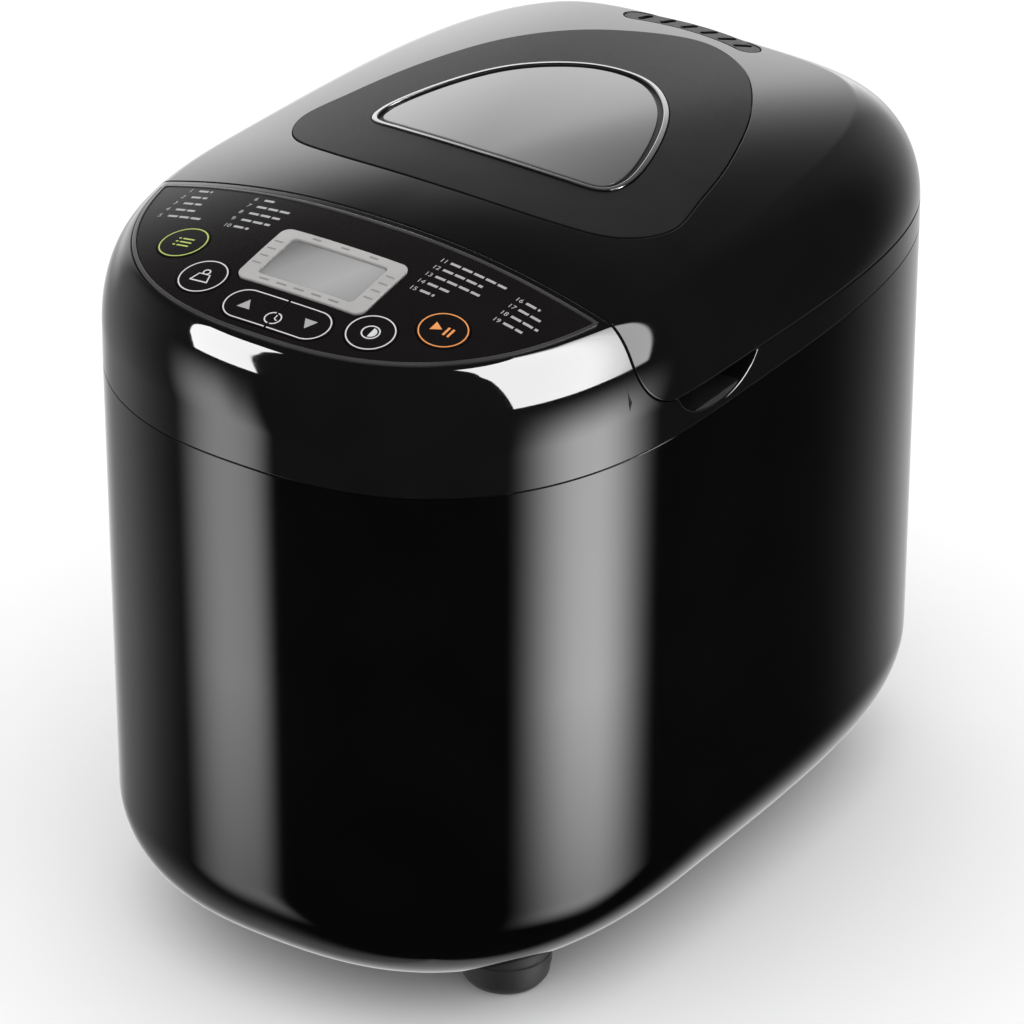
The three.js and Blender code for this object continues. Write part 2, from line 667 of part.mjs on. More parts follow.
function driveBelt() {
  const outer = prism(beltLoop(BELT_GAP + BELT_THICK), BELT_LOW, BELT_HIGH, 8);
  const inner = prism(beltLoop(BELT_GAP), BELT_LOW - 1, BELT_HIGH + 1, 8);
  part('drive_belt', outer.subtract(inner), rubber());
}

function motor() {
  const profile = [
    [0, 50.4], [20, 50.4], [20, 53], [33, 53], [33, 118], [26, 121], [10, 121], [10, 124], [0, 124],
  ];
  const can = turned(profile, 0, MOTOR_Y, 16);
  const bore = cylinder(0, MOTOR_Y, 40, 90, 3.4, 16);
  const lugs = join(
    box(-44, 44, MOTOR_Y - 7, MOTOR_Y + 7, 53, 55),
    box(-44, -38, MOTOR_Y - 7, MOTOR_Y + 7, 50.4, 55),
    box(38, 44, MOTOR_Y - 7, MOTOR_Y + 7, 50.4, 55));
  part('motor', can.add(lugs).subtract(bore), steel());
  part('motor_shaft', cylinder(0, MOTOR_Y, 24, 88, 3, 16), steel());
}

function runCapacitor() {
  part('run_capacitor', cylinder(50, -92, 50.4, 92, 9.5, 24), material(0xcfd2d3, 0.4));
}

function powerBoard() {
  const plate = box(-79, -77.4, -126, -84, 52, 150);
  const relay = box(-79, -62, -118, -104, 112, 134);
  const coil = box(-79, -66, -98, -86, 70, 92);
  const terminal = box(-79, -69, -122, -106, 66, 78);
  const foot = box(-79, -54, -110, -96, 50.4, 53);
  part('power_board', join(plate, relay, coil, terminal, foot), circuitGreen());
}

// ---------------------------------------------------------------- lid
// Halves for x >= 0 of the dark insert and of the window, mirrored where they are used.
const INSERT_OUTLINE = [
  [0, -51], [46, -47], [71, -37], [81.5, -17], [77.5, 10], [70, 41], [54.5, 79], [29, 112.5], [0, 127],
];
const WINDOW_OUTLINE = [
  [0, -20.5], [36, -17.6], [50, -13.5], [53, -4], [46, 26], [32, 54], [14, 71], [0, 74.5],
];
const VENT = { x: -8.5, centreY: 72.5, radius: 68, halfWidth: 4.7, halfAngle: 0.385 };

const insertZone = (grow) => prism(mirroredOutline(INSERT_OUTLINE, grow), 250, 320);
const windowZone = (grow) => prism(mirroredOutline(WINDOW_OUTLINE, grow), 200, 320);

// Banana-shaped vent outline with round ends.
function ventZone(grow) {
  const { x, centreY, radius, halfWidth, halfAngle } = VENT;
  const up = Math.PI / 2;
  const width = halfWidth + grow;
  const shape = new THREE.Shape();
  const end = (angle) => [x + radius * Math.cos(angle), centreY + radius * Math.sin(angle)];
  shape.absarc(x, centreY, radius + width, up - halfAngle, up + halfAngle);
  shape.absarc(...end(up + halfAngle), width, up + halfAngle, up + halfAngle + Math.PI);
  shape.absarc(x, centreY, radius - width, up + halfAngle, up - halfAngle, true);
  shape.absarc(...end(up - halfAngle), width, up - halfAngle - Math.PI, up - halfAngle);
  shape.closePath();
  return prism(shape, 240, 320, 5);
}

function lidShell() {
  let shell = TOP.subtract(TOP_INNER).intersect(lidZone(0.4));
  shell = shell.subtract(topSolid(-3).subtract(topSolid(1.1)).intersect(insertZone(GAP)));
  shell = cut(shell, windowZone(2.4), ventZone(GAP));
  part('lid_shell', shell, glossBlack());
}

function lidInsert() {
  const skin = between(-0.35, 0.8).intersect(insertZone(0)).subtract(windowZone(2.4));
  part('lid_insert', skin, material(0x2b2c2e, 0.65));
}

function windowPieces() {
  const trim = between(-0.8, 3.4).intersect(windowZone(2.1).subtract(windowZone(0)));
  part('window_frame', trim, greyPlastic());
  part('window_pane', between(0.5, 3.4).intersect(windowZone(-GAP)), glass());
}

function lidVent() {
  let grille = between(-0.2, WALL).intersect(ventZone(0));
  const louvres = 6;
  for (let i = 0; i < louvres; i += 1) {
    const angle = Math.PI / 2 - VENT.halfAngle * 0.86 * (1 - (2 * i) / (louvres - 1));
    const slot = new THREE.BoxGeometry(2.6, 7.4, 60);
    slot.rotateZ(angle - Math.PI / 2 - 0.5);
    const x = VENT.x + VENT.radius * Math.cos(angle);
    slot.translate(x, VENT.centreY + VENT.radius * Math.sin(angle), 270);
    grille = grille.subtract(solid(slot));
  }
  part('lid_vent_grille', grille, matteBlack());
}

const LINER = { halfX: 88, halfY: 98, radius: 26 };

function linerShape(grow) {
  const { halfX, halfY, radius } = LINER;
  return roundedRectangle(halfX + grow, halfY + grow, radius + grow, 0, DRIVE_Y);
}

function lidInnerCover() {
  const front = LID_FRONT_Y + 0.9;
  const low = 0.6;
  const plate = lidSlab(planShape(() => WALL + 1), low, 2.8)
    .intersect(box(-130, 130, front, 180, 200, 320));
  const frontWall = box(-130, 130, front, front + 2.2, lidLine(front) + low, 320)
    .intersect(topSolid(WALL + 1));
  const opening = lidSlab(linerShape(0), -5, 20);
  const hingeRoom = box(-50, 50, 142.6, 180, 200, 300);
  part('lid_inner_cover', cut(plate.add(frontWall), opening, hingeRoom), matteBlack());
}

function lidLiner() {
  part('lid_liner', lidSlab(linerShape(4), 3.1, 4.1).subtract(windowZone(-4)), aluminium());
  part('inner_pane', lidSlab(mirroredOutline(WINDOW_OUTLINE, 4), 4.4, 8), glass());
}

// ---------------------------------------------------------------- hinge
function hinge() {
  const pin = 2.2;
  for (const [bracketName, armName, side] of [
    ['hinge_bracket_left', 'hinge_arm_left', -1], ['hinge_bracket_right', 'hinge_arm_right', 1]]) {
    const span = (a, b) => (side > 0 ? [a, b] : [-b, -a]);
    const [b0, b1] = span(30, 36);
    const knuckle = cylinderX(b0, b1, HINGE_Y, HINGE_Z, KNUCKLE, 20);
    const leg = box(b0, b1, 143.4, HINGE_Y, DECK.high + GAP, HINGE_Z + 2);
    const bracket = knuckle.add(leg.subtract(cylinderX(b0 - 1, b1 + 1, HINGE_Y - 1, HINGE_Z - 9, 7)));
    const bore = cylinderX(-60, 60, HINGE_Y, HINGE_Z, pin + GAP, 16);
    part(bracketName, bracket.subtract(bore), steel());
    const [a0, a1] = span(36.4, 42);
    const armPlate = new THREE.Shape();
    armPlate.moveTo(HINGE_Y + 1, HINGE_Z + 4);
    armPlate.lineTo(140, 252);
    armPlate.lineTo(134, 249);
    armPlate.lineTo(HINGE_Y - 2, HINGE_Z - 3.6);
    armPlate.closePath();
    const arm = cylinderX(a0, a1, HINGE_Y, HINGE_Z, KNUCKLE, 20).add(sidePrism(armPlate, a0, a1));
    const linerRoom = lidSlab(roundedRectangle(120, 130, 20, 0, DRIVE_Y), -5, 4.4)
      .intersect(box(-60, 60, 100, 147, 200, 300));
    part(armName, cut(arm, bore, linerRoom), steel());
  }
  part('hinge_pin', cylinderX(-46, 46, HINGE_Y, HINGE_Z, pin, 16), steel());
}

// ---------------------------------------------------------------- bread pan
// Tapered box with rounded corners, from one plan size to another.
function taperedBox(low, high, z0, z1) {
  const cornerSteps = 3;
  const outline = ({ halfX, halfY, radius }) =>
    roundedRectangle(halfX, halfY, radius).getPoints(cornerSteps);
  const bottom = outline(low);
  const top = outline(high);
  const geometry = extruded(new THREE.Shape(bottom), z1 - z0, 1);
  const position = geometry.getAttribute('position');
  for (let i = 0; i < position.count; i += 1) {
    if (position.getZ(i) < (z1 - z0) / 2) continue;
    const [x, y] = [position.getX(i), position.getY(i)];
    const match = bottom.findIndex((p) => Math.hypot(p.x - x, p.y - y) < 1e-3);
    position.setXY(i, top[match].x, top[match].y);
  }
  return solid(geometry.translate(0, DRIVE_Y, z0));
}

function breadPan() {
  const { halfX, halfY, radius, bottom, top, draft, wall } = PAN;
  const low = { halfX: halfX - draft, halfY: halfY - draft, radius };
  const high = { halfX, halfY, radius };
  const grown = (size, by) => ({
    halfX: size.halfX + by, halfY: size.halfY + by, radius: size.radius + by,
  });
  const outer = taperedBox(grown(low, wall), grown(high, wall), bottom, top);
  const inner = taperedBox(low, grown(high, 0.3), bottom + wall, top + 6);
  const rim = taperedBox(grown(high, 4), grown(high, 4), top - 2, top);
  let pan = outer.add(rim).subtract(inner).subtract(cylinder(0, DRIVE_Y, 60, 100, 7 + GAP));
  for (const side of [-1, 1]) {
    const y = DRIVE_Y + side * (halfY + 3);
    const [y0, y1] = side < 0 ? [y - 3, y] : [y, y + 3];
    const ear = box(-8, 8, y0, y1, top - 2, top + 9);
    pan = pan.add(ear.subtract(cylinderY(y - 12, y + 12, 0, top + 4, 2.5, 12)));
  }
  part('bread_pan', pan, nonStick());
  const footProfile = [[26, 62.5], [31, 62.5], [31, 74], [36, 77.7], [26, 77.7]];
  part('pan_foot', turned(footProfile, 0, DRIVE_Y, 22), aluminium());
}

function panHandle() {
  const z = PAN.top + 4;
  const reach = 64;
  const end = PAN.halfY + 12;
  const path = new THREE.CurvePath();
  const at = (x, y) => new THREE.Vector3(x, DRIVE_Y + y, z);
  const bend = 16;
  path.add(new THREE.LineCurve3(at(-2, -end), at(reach - bend, -end)));
  const corner = (from, tip, to) => path.add(new THREE.QuadraticBezierCurve3(from, tip, to));
  corner(at(reach - bend, -end), at(reach, -end), at(reach, -end + bend));
  path.add(new THREE.LineCurve3(at(reach, -end + bend), at(reach, end - bend)));
  corner(at(reach, end - bend), at(reach, end), at(reach - bend, end));
  path.add(new THREE.LineCurve3(at(reach - bend, end), at(-2, end)));
  const pinLength = 9;
  const frontPin = cylinderY(DRIVE_Y - end, DRIVE_Y - end + pinLength, 0, z, 2, 12);
  const backPin = cylinderY(DRIVE_Y + end - pinLength, DRIVE_Y + end, 0, z, 2, 12);
  part('pan_handle', join(rod(path, 2, 36), frontPin, backPin), steel());
}

function panSpindle() {
  const bushProfile = [
    [5.3, 74], [12, 74], [12, 77.6], [7, 77.6], [7, 79.8], [12, 79.8], [9, 86], [5.3, 86],
  ];
  part('pan_bush', turned(bushProfile, 0, DRIVE_Y, 16), material(0x9a7d45, 0.4, 1));
  const shaft = cylinder(0, DRIVE_Y, 66, 108, 5, 20);
  const wing = box(-15, 15, DRIVE_Y - 3, DRIVE_Y + 3, 64, 71.6);
  part('pan_shaft', shaft.add(wing), steel());
}

function kneadingPaddle() {
  const hub = cylinder(0, DRIVE_Y, 86.6, 110, 10.5, 24, 8.5);
  const blade = new THREE.Shape();
  blade.moveTo(0, 87);
  blade.lineTo(50, 87);
  blade.quadraticCurveTo(57, 88, 55, 96);
  blade.quadraticCurveTo(46, 124, 28, 128);
  blade.quadraticCurveTo(12, 130, 6, 109);
  blade.lineTo(0, 109);
  blade.closePath();
  const thickness = 6;
  const fin = solid(extruded(blade, thickness, 6)
    .rotateX(Math.PI / 2).translate(0, DRIVE_Y + thickness / 2, 0));
  part('kneading_paddle', hub.add(fin).subtract(cylinder(0, DRIVE_Y, 80, 109, 5.3, 20)), nonStick());
}

// ---------------------------------------------------------------- assembly
outerBody();
basePlate();
feet();
rearGrille();
cordGland();
topHousing();
panelBezel();
controlPanel();
display();
keys();
controlBoard();
chamberLiner();
heatingElement();
elementBushes();
temperatureSensor();
panSeat();
panSprings();
chassis();
shaftBearing();
driveSpindle();
pulley('drive_pulley', DRIVE_Y, BIG_PULLEY, 5.3, 24);
pulley('motor_pulley', MOTOR_Y, SMALL_PULLEY, 3.3, 14);
driveBelt();
motor();
runCapacitor();
powerBoard();
lidShell();
lidInsert();
windowPieces();
lidVent();
lidInnerCover();
lidLiner();
hinge();
breadPan();
panHandle();
panSpindle();
kneadingPaddle();

export default root;
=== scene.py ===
"""Countertop bread machine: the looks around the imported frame.

Lengths are in millimetres until a mesh is made.
"""
import math
from types import SimpleNamespace as Sizes

import bmesh
import bpy
import numpy as np
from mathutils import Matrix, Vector


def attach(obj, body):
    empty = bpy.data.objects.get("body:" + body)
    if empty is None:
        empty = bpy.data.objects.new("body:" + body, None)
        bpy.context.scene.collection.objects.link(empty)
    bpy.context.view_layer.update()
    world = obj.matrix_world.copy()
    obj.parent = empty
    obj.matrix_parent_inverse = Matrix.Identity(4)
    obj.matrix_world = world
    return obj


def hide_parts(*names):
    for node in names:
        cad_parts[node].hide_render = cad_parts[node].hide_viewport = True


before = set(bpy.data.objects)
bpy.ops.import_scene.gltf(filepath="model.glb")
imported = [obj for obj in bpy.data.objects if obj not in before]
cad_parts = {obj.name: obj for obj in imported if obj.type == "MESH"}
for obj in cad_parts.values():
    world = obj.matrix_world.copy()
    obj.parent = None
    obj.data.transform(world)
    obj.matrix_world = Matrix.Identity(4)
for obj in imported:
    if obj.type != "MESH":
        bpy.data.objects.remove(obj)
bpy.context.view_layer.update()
scene = bpy.context.scene
MM = 0.001

# ---- camera
camera = bpy.data.objects.new("camera", bpy.data.cameras.new("camera"))
scene.collection.objects.link(camera)
scene.camera = camera
camera.data.sensor_width = 36
camera.data.lens = 287.2
camera.data.clip_start = 0.1
camera.data.clip_end = 50
CAMERA_AZIMUTH = math.radians(34.358)
CAMERA_ELEVATION = math.radians(29.395)
CAMERA_DISTANCE = 3.0558
CAMERA_TARGET = Vector((0.01374, -0.01867, 0.14540))
toward = Vector((
    math.sin(CAMERA_AZIMUTH) * math.cos(CAMERA_ELEVATION),
    -math.cos(CAMERA_AZIMUTH) * math.cos(CAMERA_ELEVATION),
    math.sin(CAMERA_ELEVATION)))
camera.location = CAMERA_TARGET + toward * CAMERA_DISTANCE
camera.rotation_mode = "QUATERNION"
camera.rotation_quaternion = (-toward).to_track_quat("-Z", "Y")

# ---- housing dimensions
HALF_WIDTH = 115.0
WIDEST_Y = -33.6
FRONT_DEPTH, FRONT_POWER = 136.0, 2.45
BACK_DEPTH, BACK_POWER = 203.2, 3.7
BODY_BOTTOM = 12.4
BOTTOM_RADIUS = 40.0
SEAM_Z = 228.0
TAPER = 0.01
SEAM_SLOPE = 0.018
LID_LINE_Z, LID_LINE_SLOPE = 241.8, 0.036
CREASE_INSET, CREASE_INSET_SLOPE = 15.6, 0.05
CREASE_Z, CREASE_SLOPE, CREASE_BOW = 278, 0.005, 0.000064
SHOULDER_TURN = math.radians(68)
LID_FRONT_Y = -80.5
LID_CORNER = 22.0
LID_GAP = 0.45
DOME_RISE = 15.6
COLUMNS, FINE_COLUMNS, OUTLINE_SAMPLES = 480, 1440, 12001
DRIVE_Y = 33.0
GAP = 0.3
SKIN = 0.6
SIDE_X, BACK_Y = 80, 120
FAR_OUTSIDE = -50.0
SIDES = ((1, "right"), (-1, "left"))

GRILLE = Sizes(half_x=42.0, low=78.0, high=122.0)
GLAND = Sizes(x=-62.0, z=66.0, hole=8.3)
NOTCH = Sizes(y=-33.5, z=245.5, half_y=25.5, half_z=15.3, back_x=102.0)
PANEL_BACK_Y = -83.3
HINGE = Sizes(y=160.0, z=239.0, relief=12.3, half_x=74.0)
DECK = Sizes(top=232.6, thick=2.6, front=-86.0, half_x=92.4, half_y=105.4, radius=30.0)
KEY_RADIUS = 9.7
KEY_PROUD = 0.25
ROUND_KEYS = {
    "menu_key": (-58.6, -122.8),
    "weight_key": (-38.2, -138.8),
    "colour_key": (36.0, -139.8),
    "start_key": (57.0, -125.0),
}
TIMER = Sizes(y=-146.4, half_x=22.8, half_y=8.4)
LCD = Sizes(y=-118.4, half_x=27.8, half_y=16.1, glass_x=20.9, glass_y=11.6)
INSERT_OUTLINE = [
    (0, -51), (46, -47), (71, -37), (81.5, -17), (77.5, 10), (70, 41), (54.5, 79), (29, 112.5), (0, 127)]
WINDOW_OUTLINE = [
    (0, -20.5), (36, -17.6), (50, -13.5), (53, -4), (46, 26), (32, 54), (14, 71), (0, 74.5)]
VENT = Sizes(x=-8.5, y=72.5, radius=68.0, half_width=4.7, half_angle=0.385)


def seam(y):
    return SEAM_Z - SEAM_SLOPE * (y - WIDEST_Y)


def lid_line(y):
    return LID_LINE_Z - LID_LINE_SLOPE * (y - WIDEST_Y)


def crease_inset(y):
    return CREASE_INSET + CREASE_INSET_SLOPE * (y - WIDEST_Y)


def crease_z(y):
    return CREASE_Z - CREASE_SLOPE * (y - WIDEST_Y) - CREASE_BOW * (y - WIDEST_Y) ** 2


def shoulder(y, turn):
    """Inset and height at a turn from the shoulder's foot."""
    share = (1 - np.cos(turn)) / (1 - math.cos(SHOULDER_TURN))
    rise = np.sin(turn) / math.sin(SHOULDER_TURN)
    return crease_inset(y) * share, lid_line(y) + (crease_z(y) - lid_line(y)) * rise


def on_ellipse(x, y, radius_x, radius_y, turns):
    """Plan points at the given turns round an ellipse."""
    return np.column_stack([x + radius_x * np.cos(turns), y + radius_y * np.sin(turns)])


def unit(v):
    return v / np.maximum(np.linalg.norm(v, axis=-1, keepdims=True), 1e-12)


def smoothstep(low, high, value):
    t = np.clip((value - low) / (high - low), 0, 1)
    return t * t * (3 - 2 * t)


def plan_outline(count):
    """Evenly spaced points of the plan outline with their outward normals, starting at the back."""
    a = np.linspace(0.5 * math.pi, 2.5 * math.pi, OUTLINE_SAMPLES)
    c, s = np.cos(a), np.sin(a)
    power = np.where(s < 0, FRONT_POWER, BACK_POWER)
    depth = np.where(s < 0, FRONT_DEPTH, BACK_DEPTH)
    r = (np.abs(c) ** power + np.abs(s) ** power) ** (-1 / power)
    x, y = r * c, r * s
    normal = unit(np.stack([
        np.sign(x) * np.abs(x) ** (power - 1) / HALF_WIDTH,
        np.sign(y) * np.abs(y) ** (power - 1) / depth], 1))
    points = np.stack([x * HALF_WIDTH, y * depth + WIDEST_Y], 1)
    run = np.concatenate([[0], np.cumsum(np.linalg.norm(np.diff(points, axis=0), axis=1))])
    at = np.linspace(0, run[-1], count + 1)[:-1]
    pick = lambda v: np.interp(at, run, v)
    return (
        np.stack([pick(points[:, 0]), pick(points[:, 1])], 1),
        unit(np.stack([pick(normal[:, 0]), pick(normal[:, 1])], 1)))


PLAN, PLAN_NORMAL = plan_outline(COLUMNS)
FINE_PLAN, FINE_NORMAL = plan_outline(FINE_COLUMNS)
FINE_CREASE = FINE_PLAN - FINE_NORMAL * crease_inset(FINE_PLAN[:, 1:2])
crease_angle = np.arctan2(FINE_CREASE[:, 1] - WIDEST_Y, FINE_CREASE[:, 0])
crease_reach = np.hypot(FINE_CREASE[:, 0], FINE_CREASE[:, 1] - WIDEST_Y)
order = np.argsort(crease_angle)
CREASE_ANGLE, CREASE_REACH = crease_angle[order], crease_reach[order]


def dome(x, y):
    """Height of the top surface inside the crease."""
    angle = np.arctan2(y - WIDEST_Y, x)
    reach = np.interp(angle, CREASE_ANGLE, CREASE_REACH, period=2 * math.pi)
    k = np.hypot(x, y - WIDEST_Y) / reach
    return crease_z(y) + DOME_RISE * (1 - k * k)


def dome_normal(x, y):
    step = 0.5
    dx = (dome(x + step, y) - dome(x - step, y)) / (2 * step)
    dy = (dome(x, y + step) - dome(x, y - step)) / (2 * step)
    return unit(np.stack([-dx, -dy, np.ones_like(dx)], -1))


# ---- distances in the plan, positive inside
def circle(cx, cy, radius):
    return lambda p: radius - np.hypot(p[:, 0] - cx, p[:, 1] - cy)


def rounded_box(cx, cy, half_x, half_y, radius):
    def inside(p):
        qx = np.abs(p[:, 0] - cx) - half_x + radius
        qy = np.abs(p[:, 1] - cy) - half_y + radius
        out = np.hypot(np.maximum(qx, 0), np.maximum(qy, 0))
        return radius - out - np.minimum(np.maximum(qx, qy), 0)
    return inside


def loop_distance(points, loop, batch=4000):
    """Distance inside a closed loop, negative outside."""
    a, b = loop, np.roll(loop, -1, 0)
    edge = b - a
    length2 = (edge ** 2).sum(1)
    result = np.empty(len(points))
    for start in range(0, len(points), batch):
        p = points[start:start + batch, None, :2]
        t = np.clip(((p - a) * edge).sum(2) / length2, 0, 1)
        near = np.sqrt((((p - a) - t[..., None] * edge) ** 2).sum(2)).min(1)
        crosses = (a[:, 1] > p[..., 1]) != (b[:, 1] > p[..., 1])
        at = a[:, 0] + (p[..., 1] - a[:, 1]) * edge[:, 0] / np.where(edge[:, 1] == 0, 1e-9, edge[:, 1])
        odd = (crosses & (p[..., 0] < at)).sum(1) % 2 == 1
        result[start:start + batch] = np.where(odd, near, -near)
    return result


def spline_loop(half_points, per_span=24):
    """Smooth closed loop, mirrored in x, through points given for x >= 0 (centripetal Catmull-Rom)."""
    right = [np.array(p, float) for p in half_points]
    left = [np.array((-p[0], p[1])) for p in right[1:-1][::-1]]
    knots = right + left
    n = len(knots)
    out = []
    for i in range(n):
        p0, p1, p2, p3 = (knots[(i + k) % n] for k in (-1, 0, 1, 2))
        d1, d2, d3 = (math.sqrt(np.linalg.norm(q - p)) for p, q in ((p0, p1), (p1, p2), (p2, p3)))
        m1 = ((p1 - p0) / d1 - (p2 - p0) / (d1 + d2) + (p2 - p1) / d2) * d2
        m2 = ((p2 - p1) / d2 - (p3 - p1) / (d2 + d3) + (p3 - p2) / d3) * d2
        for s in np.arange(per_span) / per_span:
            out.append(
                (2 * s ** 3 - 3 * s ** 2 + 1) * p1 + (s ** 3 - 2 * s ** 2 + s) * m1
                + (3 * s ** 2 - 2 * s ** 3) * p2 + (s ** 3 - s ** 2) * m2)
    return np.array(out)


INSERT_LOOP = spline_loop(INSERT_OUTLINE)
WINDOW_LOOP = spline_loop(WINDOW_OUTLINE)


def inside_loop(loop, grow=0.0):
    return lambda p: loop_distance(p, loop) + grow


def rounded_meet(a, b, radius):
    """Distance inside both of two edges whose corner is rounded."""
    u, v = radius - a, radius - b
    return np.where((u > 0) & (v > 0), radius - np.hypot(u, v), np.minimum(a, b))


def panel_inside(p):
    return rounded_meet(loop_distance(p, FINE_CREASE) - 0.8, PANEL_BACK_Y - p[:, 1], 2.5)


def lid_inside(p):
    """Distance into the lid's room, seen from the side."""
    return rounded_meet(p[:, 1] - LID_FRONT_Y, p[:, 2] - lid_line(p[:, 1]), LID_CORNER)


def vent_inside(p):
    dx, dy = p[:, 0] - VENT.x, p[:, 1] - VENT.y
    angle = np.arctan2(dx, dy)
    near = np.clip(angle, -VENT.half_angle, VENT.half_angle)
    return VENT.half_width - np.hypot(
        dx - VENT.radius * np.sin(near), dy - VENT.radius * np.cos(near))


def notch_inside(p):
    reach = np.hypot((p[:, 1] - NOTCH.y) / NOTCH.half_y, (p[:, 2] - NOTCH.z) / NOTCH.half_z)
    scale = 0.5 * (NOTCH.half_y + NOTCH.half_z)
    return np.where(np.abs(p[:, 0]) > SIDE_X, (1 - reach) * scale, FAR_OUTSIDE)


def back_box(half_x, low, high, radius, cx=0.0):
    """Rounded box through the back wall."""
    shape = rounded_box(cx, (low + high) / 2, half_x, (high - low) / 2, radius)
    return lambda p: np.where(p[:, 1] > BACK_Y, shape(p[:, [0, 2]]), FAR_OUTSIDE)


# ---- sheets
class Sheet:
    """A surface patch: points, unit normals, and faces that turn counterclockwise about the normals."""

    def __init__(self, points, normals, faces):
        self.points, self.normals, self.faces = points, normals, faces

    def clip(self, inside, keep=0.0):
        """Keeps the part where inside(points) is over keep."""
        f = inside(self.points) - keep
        f[np.abs(f) < 0.01] = 0
        points, normals = list(self.points), list(self.normals)
        cuts, faces = {}, []
        values = f.tolist()
        for face in self.faces:
            v = [values[i] for i in face]
            if min(v) >= 0:
                faces.append(face)
                continue
            if max(v) <= 0:
                continue
            kept = []
            for i, a in enumerate(face):
                b = face[(i + 1) % len(face)]
                fa, fb = v[i], v[(i + 1) % len(face)]
                if fa >= 0:
                    kept.append(a)
                if fa * fb < 0:
                    key = (min(a, b), max(a, b))
                    if key not in cuts:
                        t = fa / (fa - fb)
                        cuts[key] = len(points)
                        points.append(points[a] * (1 - t) + points[b] * t)
                        normals.append(normals[a] * (1 - t) + normals[b] * t)
                    kept.append(cuts[key])
            if len(kept) > 2:
                faces.append(tuple(kept))
        used = sorted({i for face in faces for i in face})
        renumber = {old: new for new, old in enumerate(used)}
        self.points = np.array(points)[used]
        self.normals = unit(np.array(normals)[used])
        self.faces = [tuple(renumber[i] for i in face) for face in faces]
        return self

    def cut(self, inside, grow=0.0):
        """Removes the part where inside(points) is over -grow."""
        return self.clip(lambda p: -inside(p), grow)

    def rim(self):
        """Directed edges with a face on the left only."""
        edges = {(face[i], face[(i + 1) % len(face)]) for face in self.faces for i in range(len(face))}
        return [(a, b) for a, b in edges if (b, a) not in edges]

    def solid(self, radius, depth, rim_depth=None, steps=4):
        """Closed body: the sheet, its rolled rim, and an inner face at a depth."""
        rim_depth = depth if rim_depth is None else rim_depth
        rim = sorted(self.rim())
        ids = sorted({i for edge in rim for i in edge})
        local = {i: k for k, i in enumerate(ids)}
        p, n = self.points[ids], self.normals[ids]
        outward = np.zeros_like(p)
        weight = np.full(len(ids), 1e-9)
        for a, b in rim:
            along = self.points[b] - self.points[a]
            for i in (local[a], local[b]):
                side = np.cross(along, n[i])
                outward[i] += side
                weight[i] += np.linalg.norm(side)
        share = np.linalg.norm(outward, axis=1) / weight
        outward = unit(outward)
        reach = (1 / np.clip(share, 0.6, 1))[:, None]
        points, normals = [self.points], [self.normals]
        for k in range(1, steps + 1):
            turn = 0.5 * math.pi * k / steps
            points.append(p + outward * reach * radius * math.sin(turn) - n * radius * (1 - math.cos(turn)))
            normals.append(unit(n * math.cos(turn) + outward * math.sin(turn)))
        points += [p + outward * reach * radius - n * rim_depth, self.points - self.normals * depth]
        normals += [outward, -self.normals]
        offsets = [len(self.points) + k * len(ids) for k in range(steps + 1)]
        inner = offsets[-1] + len(ids)
        faces = list(self.faces) + [tuple(inner + i for i in face[::-1]) for face in self.faces]
        for a, b in rim:
            la, lb = local[a], local[b]
            chain_a = [a] + [o + la for o in offsets] + [inner + a]
            chain_b = [b] + [o + lb for o in offsets] + [inner + b]
            for k in range(len(chain_a) - 1):
                faces.append((chain_b[k], chain_a[k], chain_a[k + 1], chain_b[k + 1]))
        return Sheet(np.concatenate(points), np.concatenate(normals), faces)


def grid(points, closed=False, normals=None):
    """Sheet over a rows x columns x 3 array, with normals from its own slopes."""
    rows, columns = points.shape[:2]
    if normals is None:
        down = np.gradient(points, axis=0)
        if closed:
            along = np.roll(points, -1, 1) - np.roll(points, 1, 1)
        else:
            along = np.gradient(points, axis=1)
        normals = unit(np.cross(along, down))
    faces = []
    for r in range(rows - 1):
        for c in range(columns if closed else columns - 1):
            d = (c + 1) % columns
            faces.append((r * columns + c, r * columns + d, (r + 1) * columns + d, (r + 1) * columns + c))
    return Sheet(points.reshape(-1, 3), normals.reshape(-1, 3), faces)


def make(name, sheet, material, body, replaces=(), smooth=True):
    """Blender object from a sheet, riding on a body."""
    mesh = bpy.data.meshes.new(name)
    mesh.from_pydata((sheet.points * MM).tolist(), [], sheet.faces)
    mesh.polygons.foreach_set("use_smooth", [smooth] * len(mesh.polygons))
    mesh.update()
    if smooth:
        mesh.normals_split_custom_set_from_vertices(sheet.normals.tolist())
    return place(bpy.data.objects.new(name, mesh), material, body, replaces)


def place(piece, material, body, replaces=()):
    """Puts a piece in the scene, on a body, with its material."""
    scene.collection.objects.link(piece)
    piece.data.materials.clear()
    piece.data.materials.append(material)
    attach(piece, body)
    if replaces:
        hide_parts(*replaces)
    return piece


def plan_grid(x0, x1, y0, y1, step):
    nx, ny = round((x1 - x0) / step) + 1, round((y1 - y0) / step) + 1
    return np.meshgrid(np.linspace(x0, x1, nx), np.linspace(y0, y1, ny))


def dome_sheet(x0, x1, y0, y1, step, proud=0.0):
    """Patch of the top surface over a plan box, raised by proud."""
    x, y = plan_grid(x0, x1, y0, y1, step)
    normal = dome_normal(x, y)
    points = np.stack([x, y, dome(x, y)], -1) + normal * proud
    return grid(points, normals=normal)


# ---- materials; a colour that is one number is a grey
def shader(name, **settings):
    """Principled material; returns it with its node tree and shader node."""
    material = bpy.data.materials.new(name)
    material.use_nodes = True
    tree = material.node_tree
    bsdf = tree.nodes["Principled BSDF"]
    for key, value in settings.items():
        bsdf.inputs[key.replace("_", " ")].default_value = value
    return material, tree, bsdf


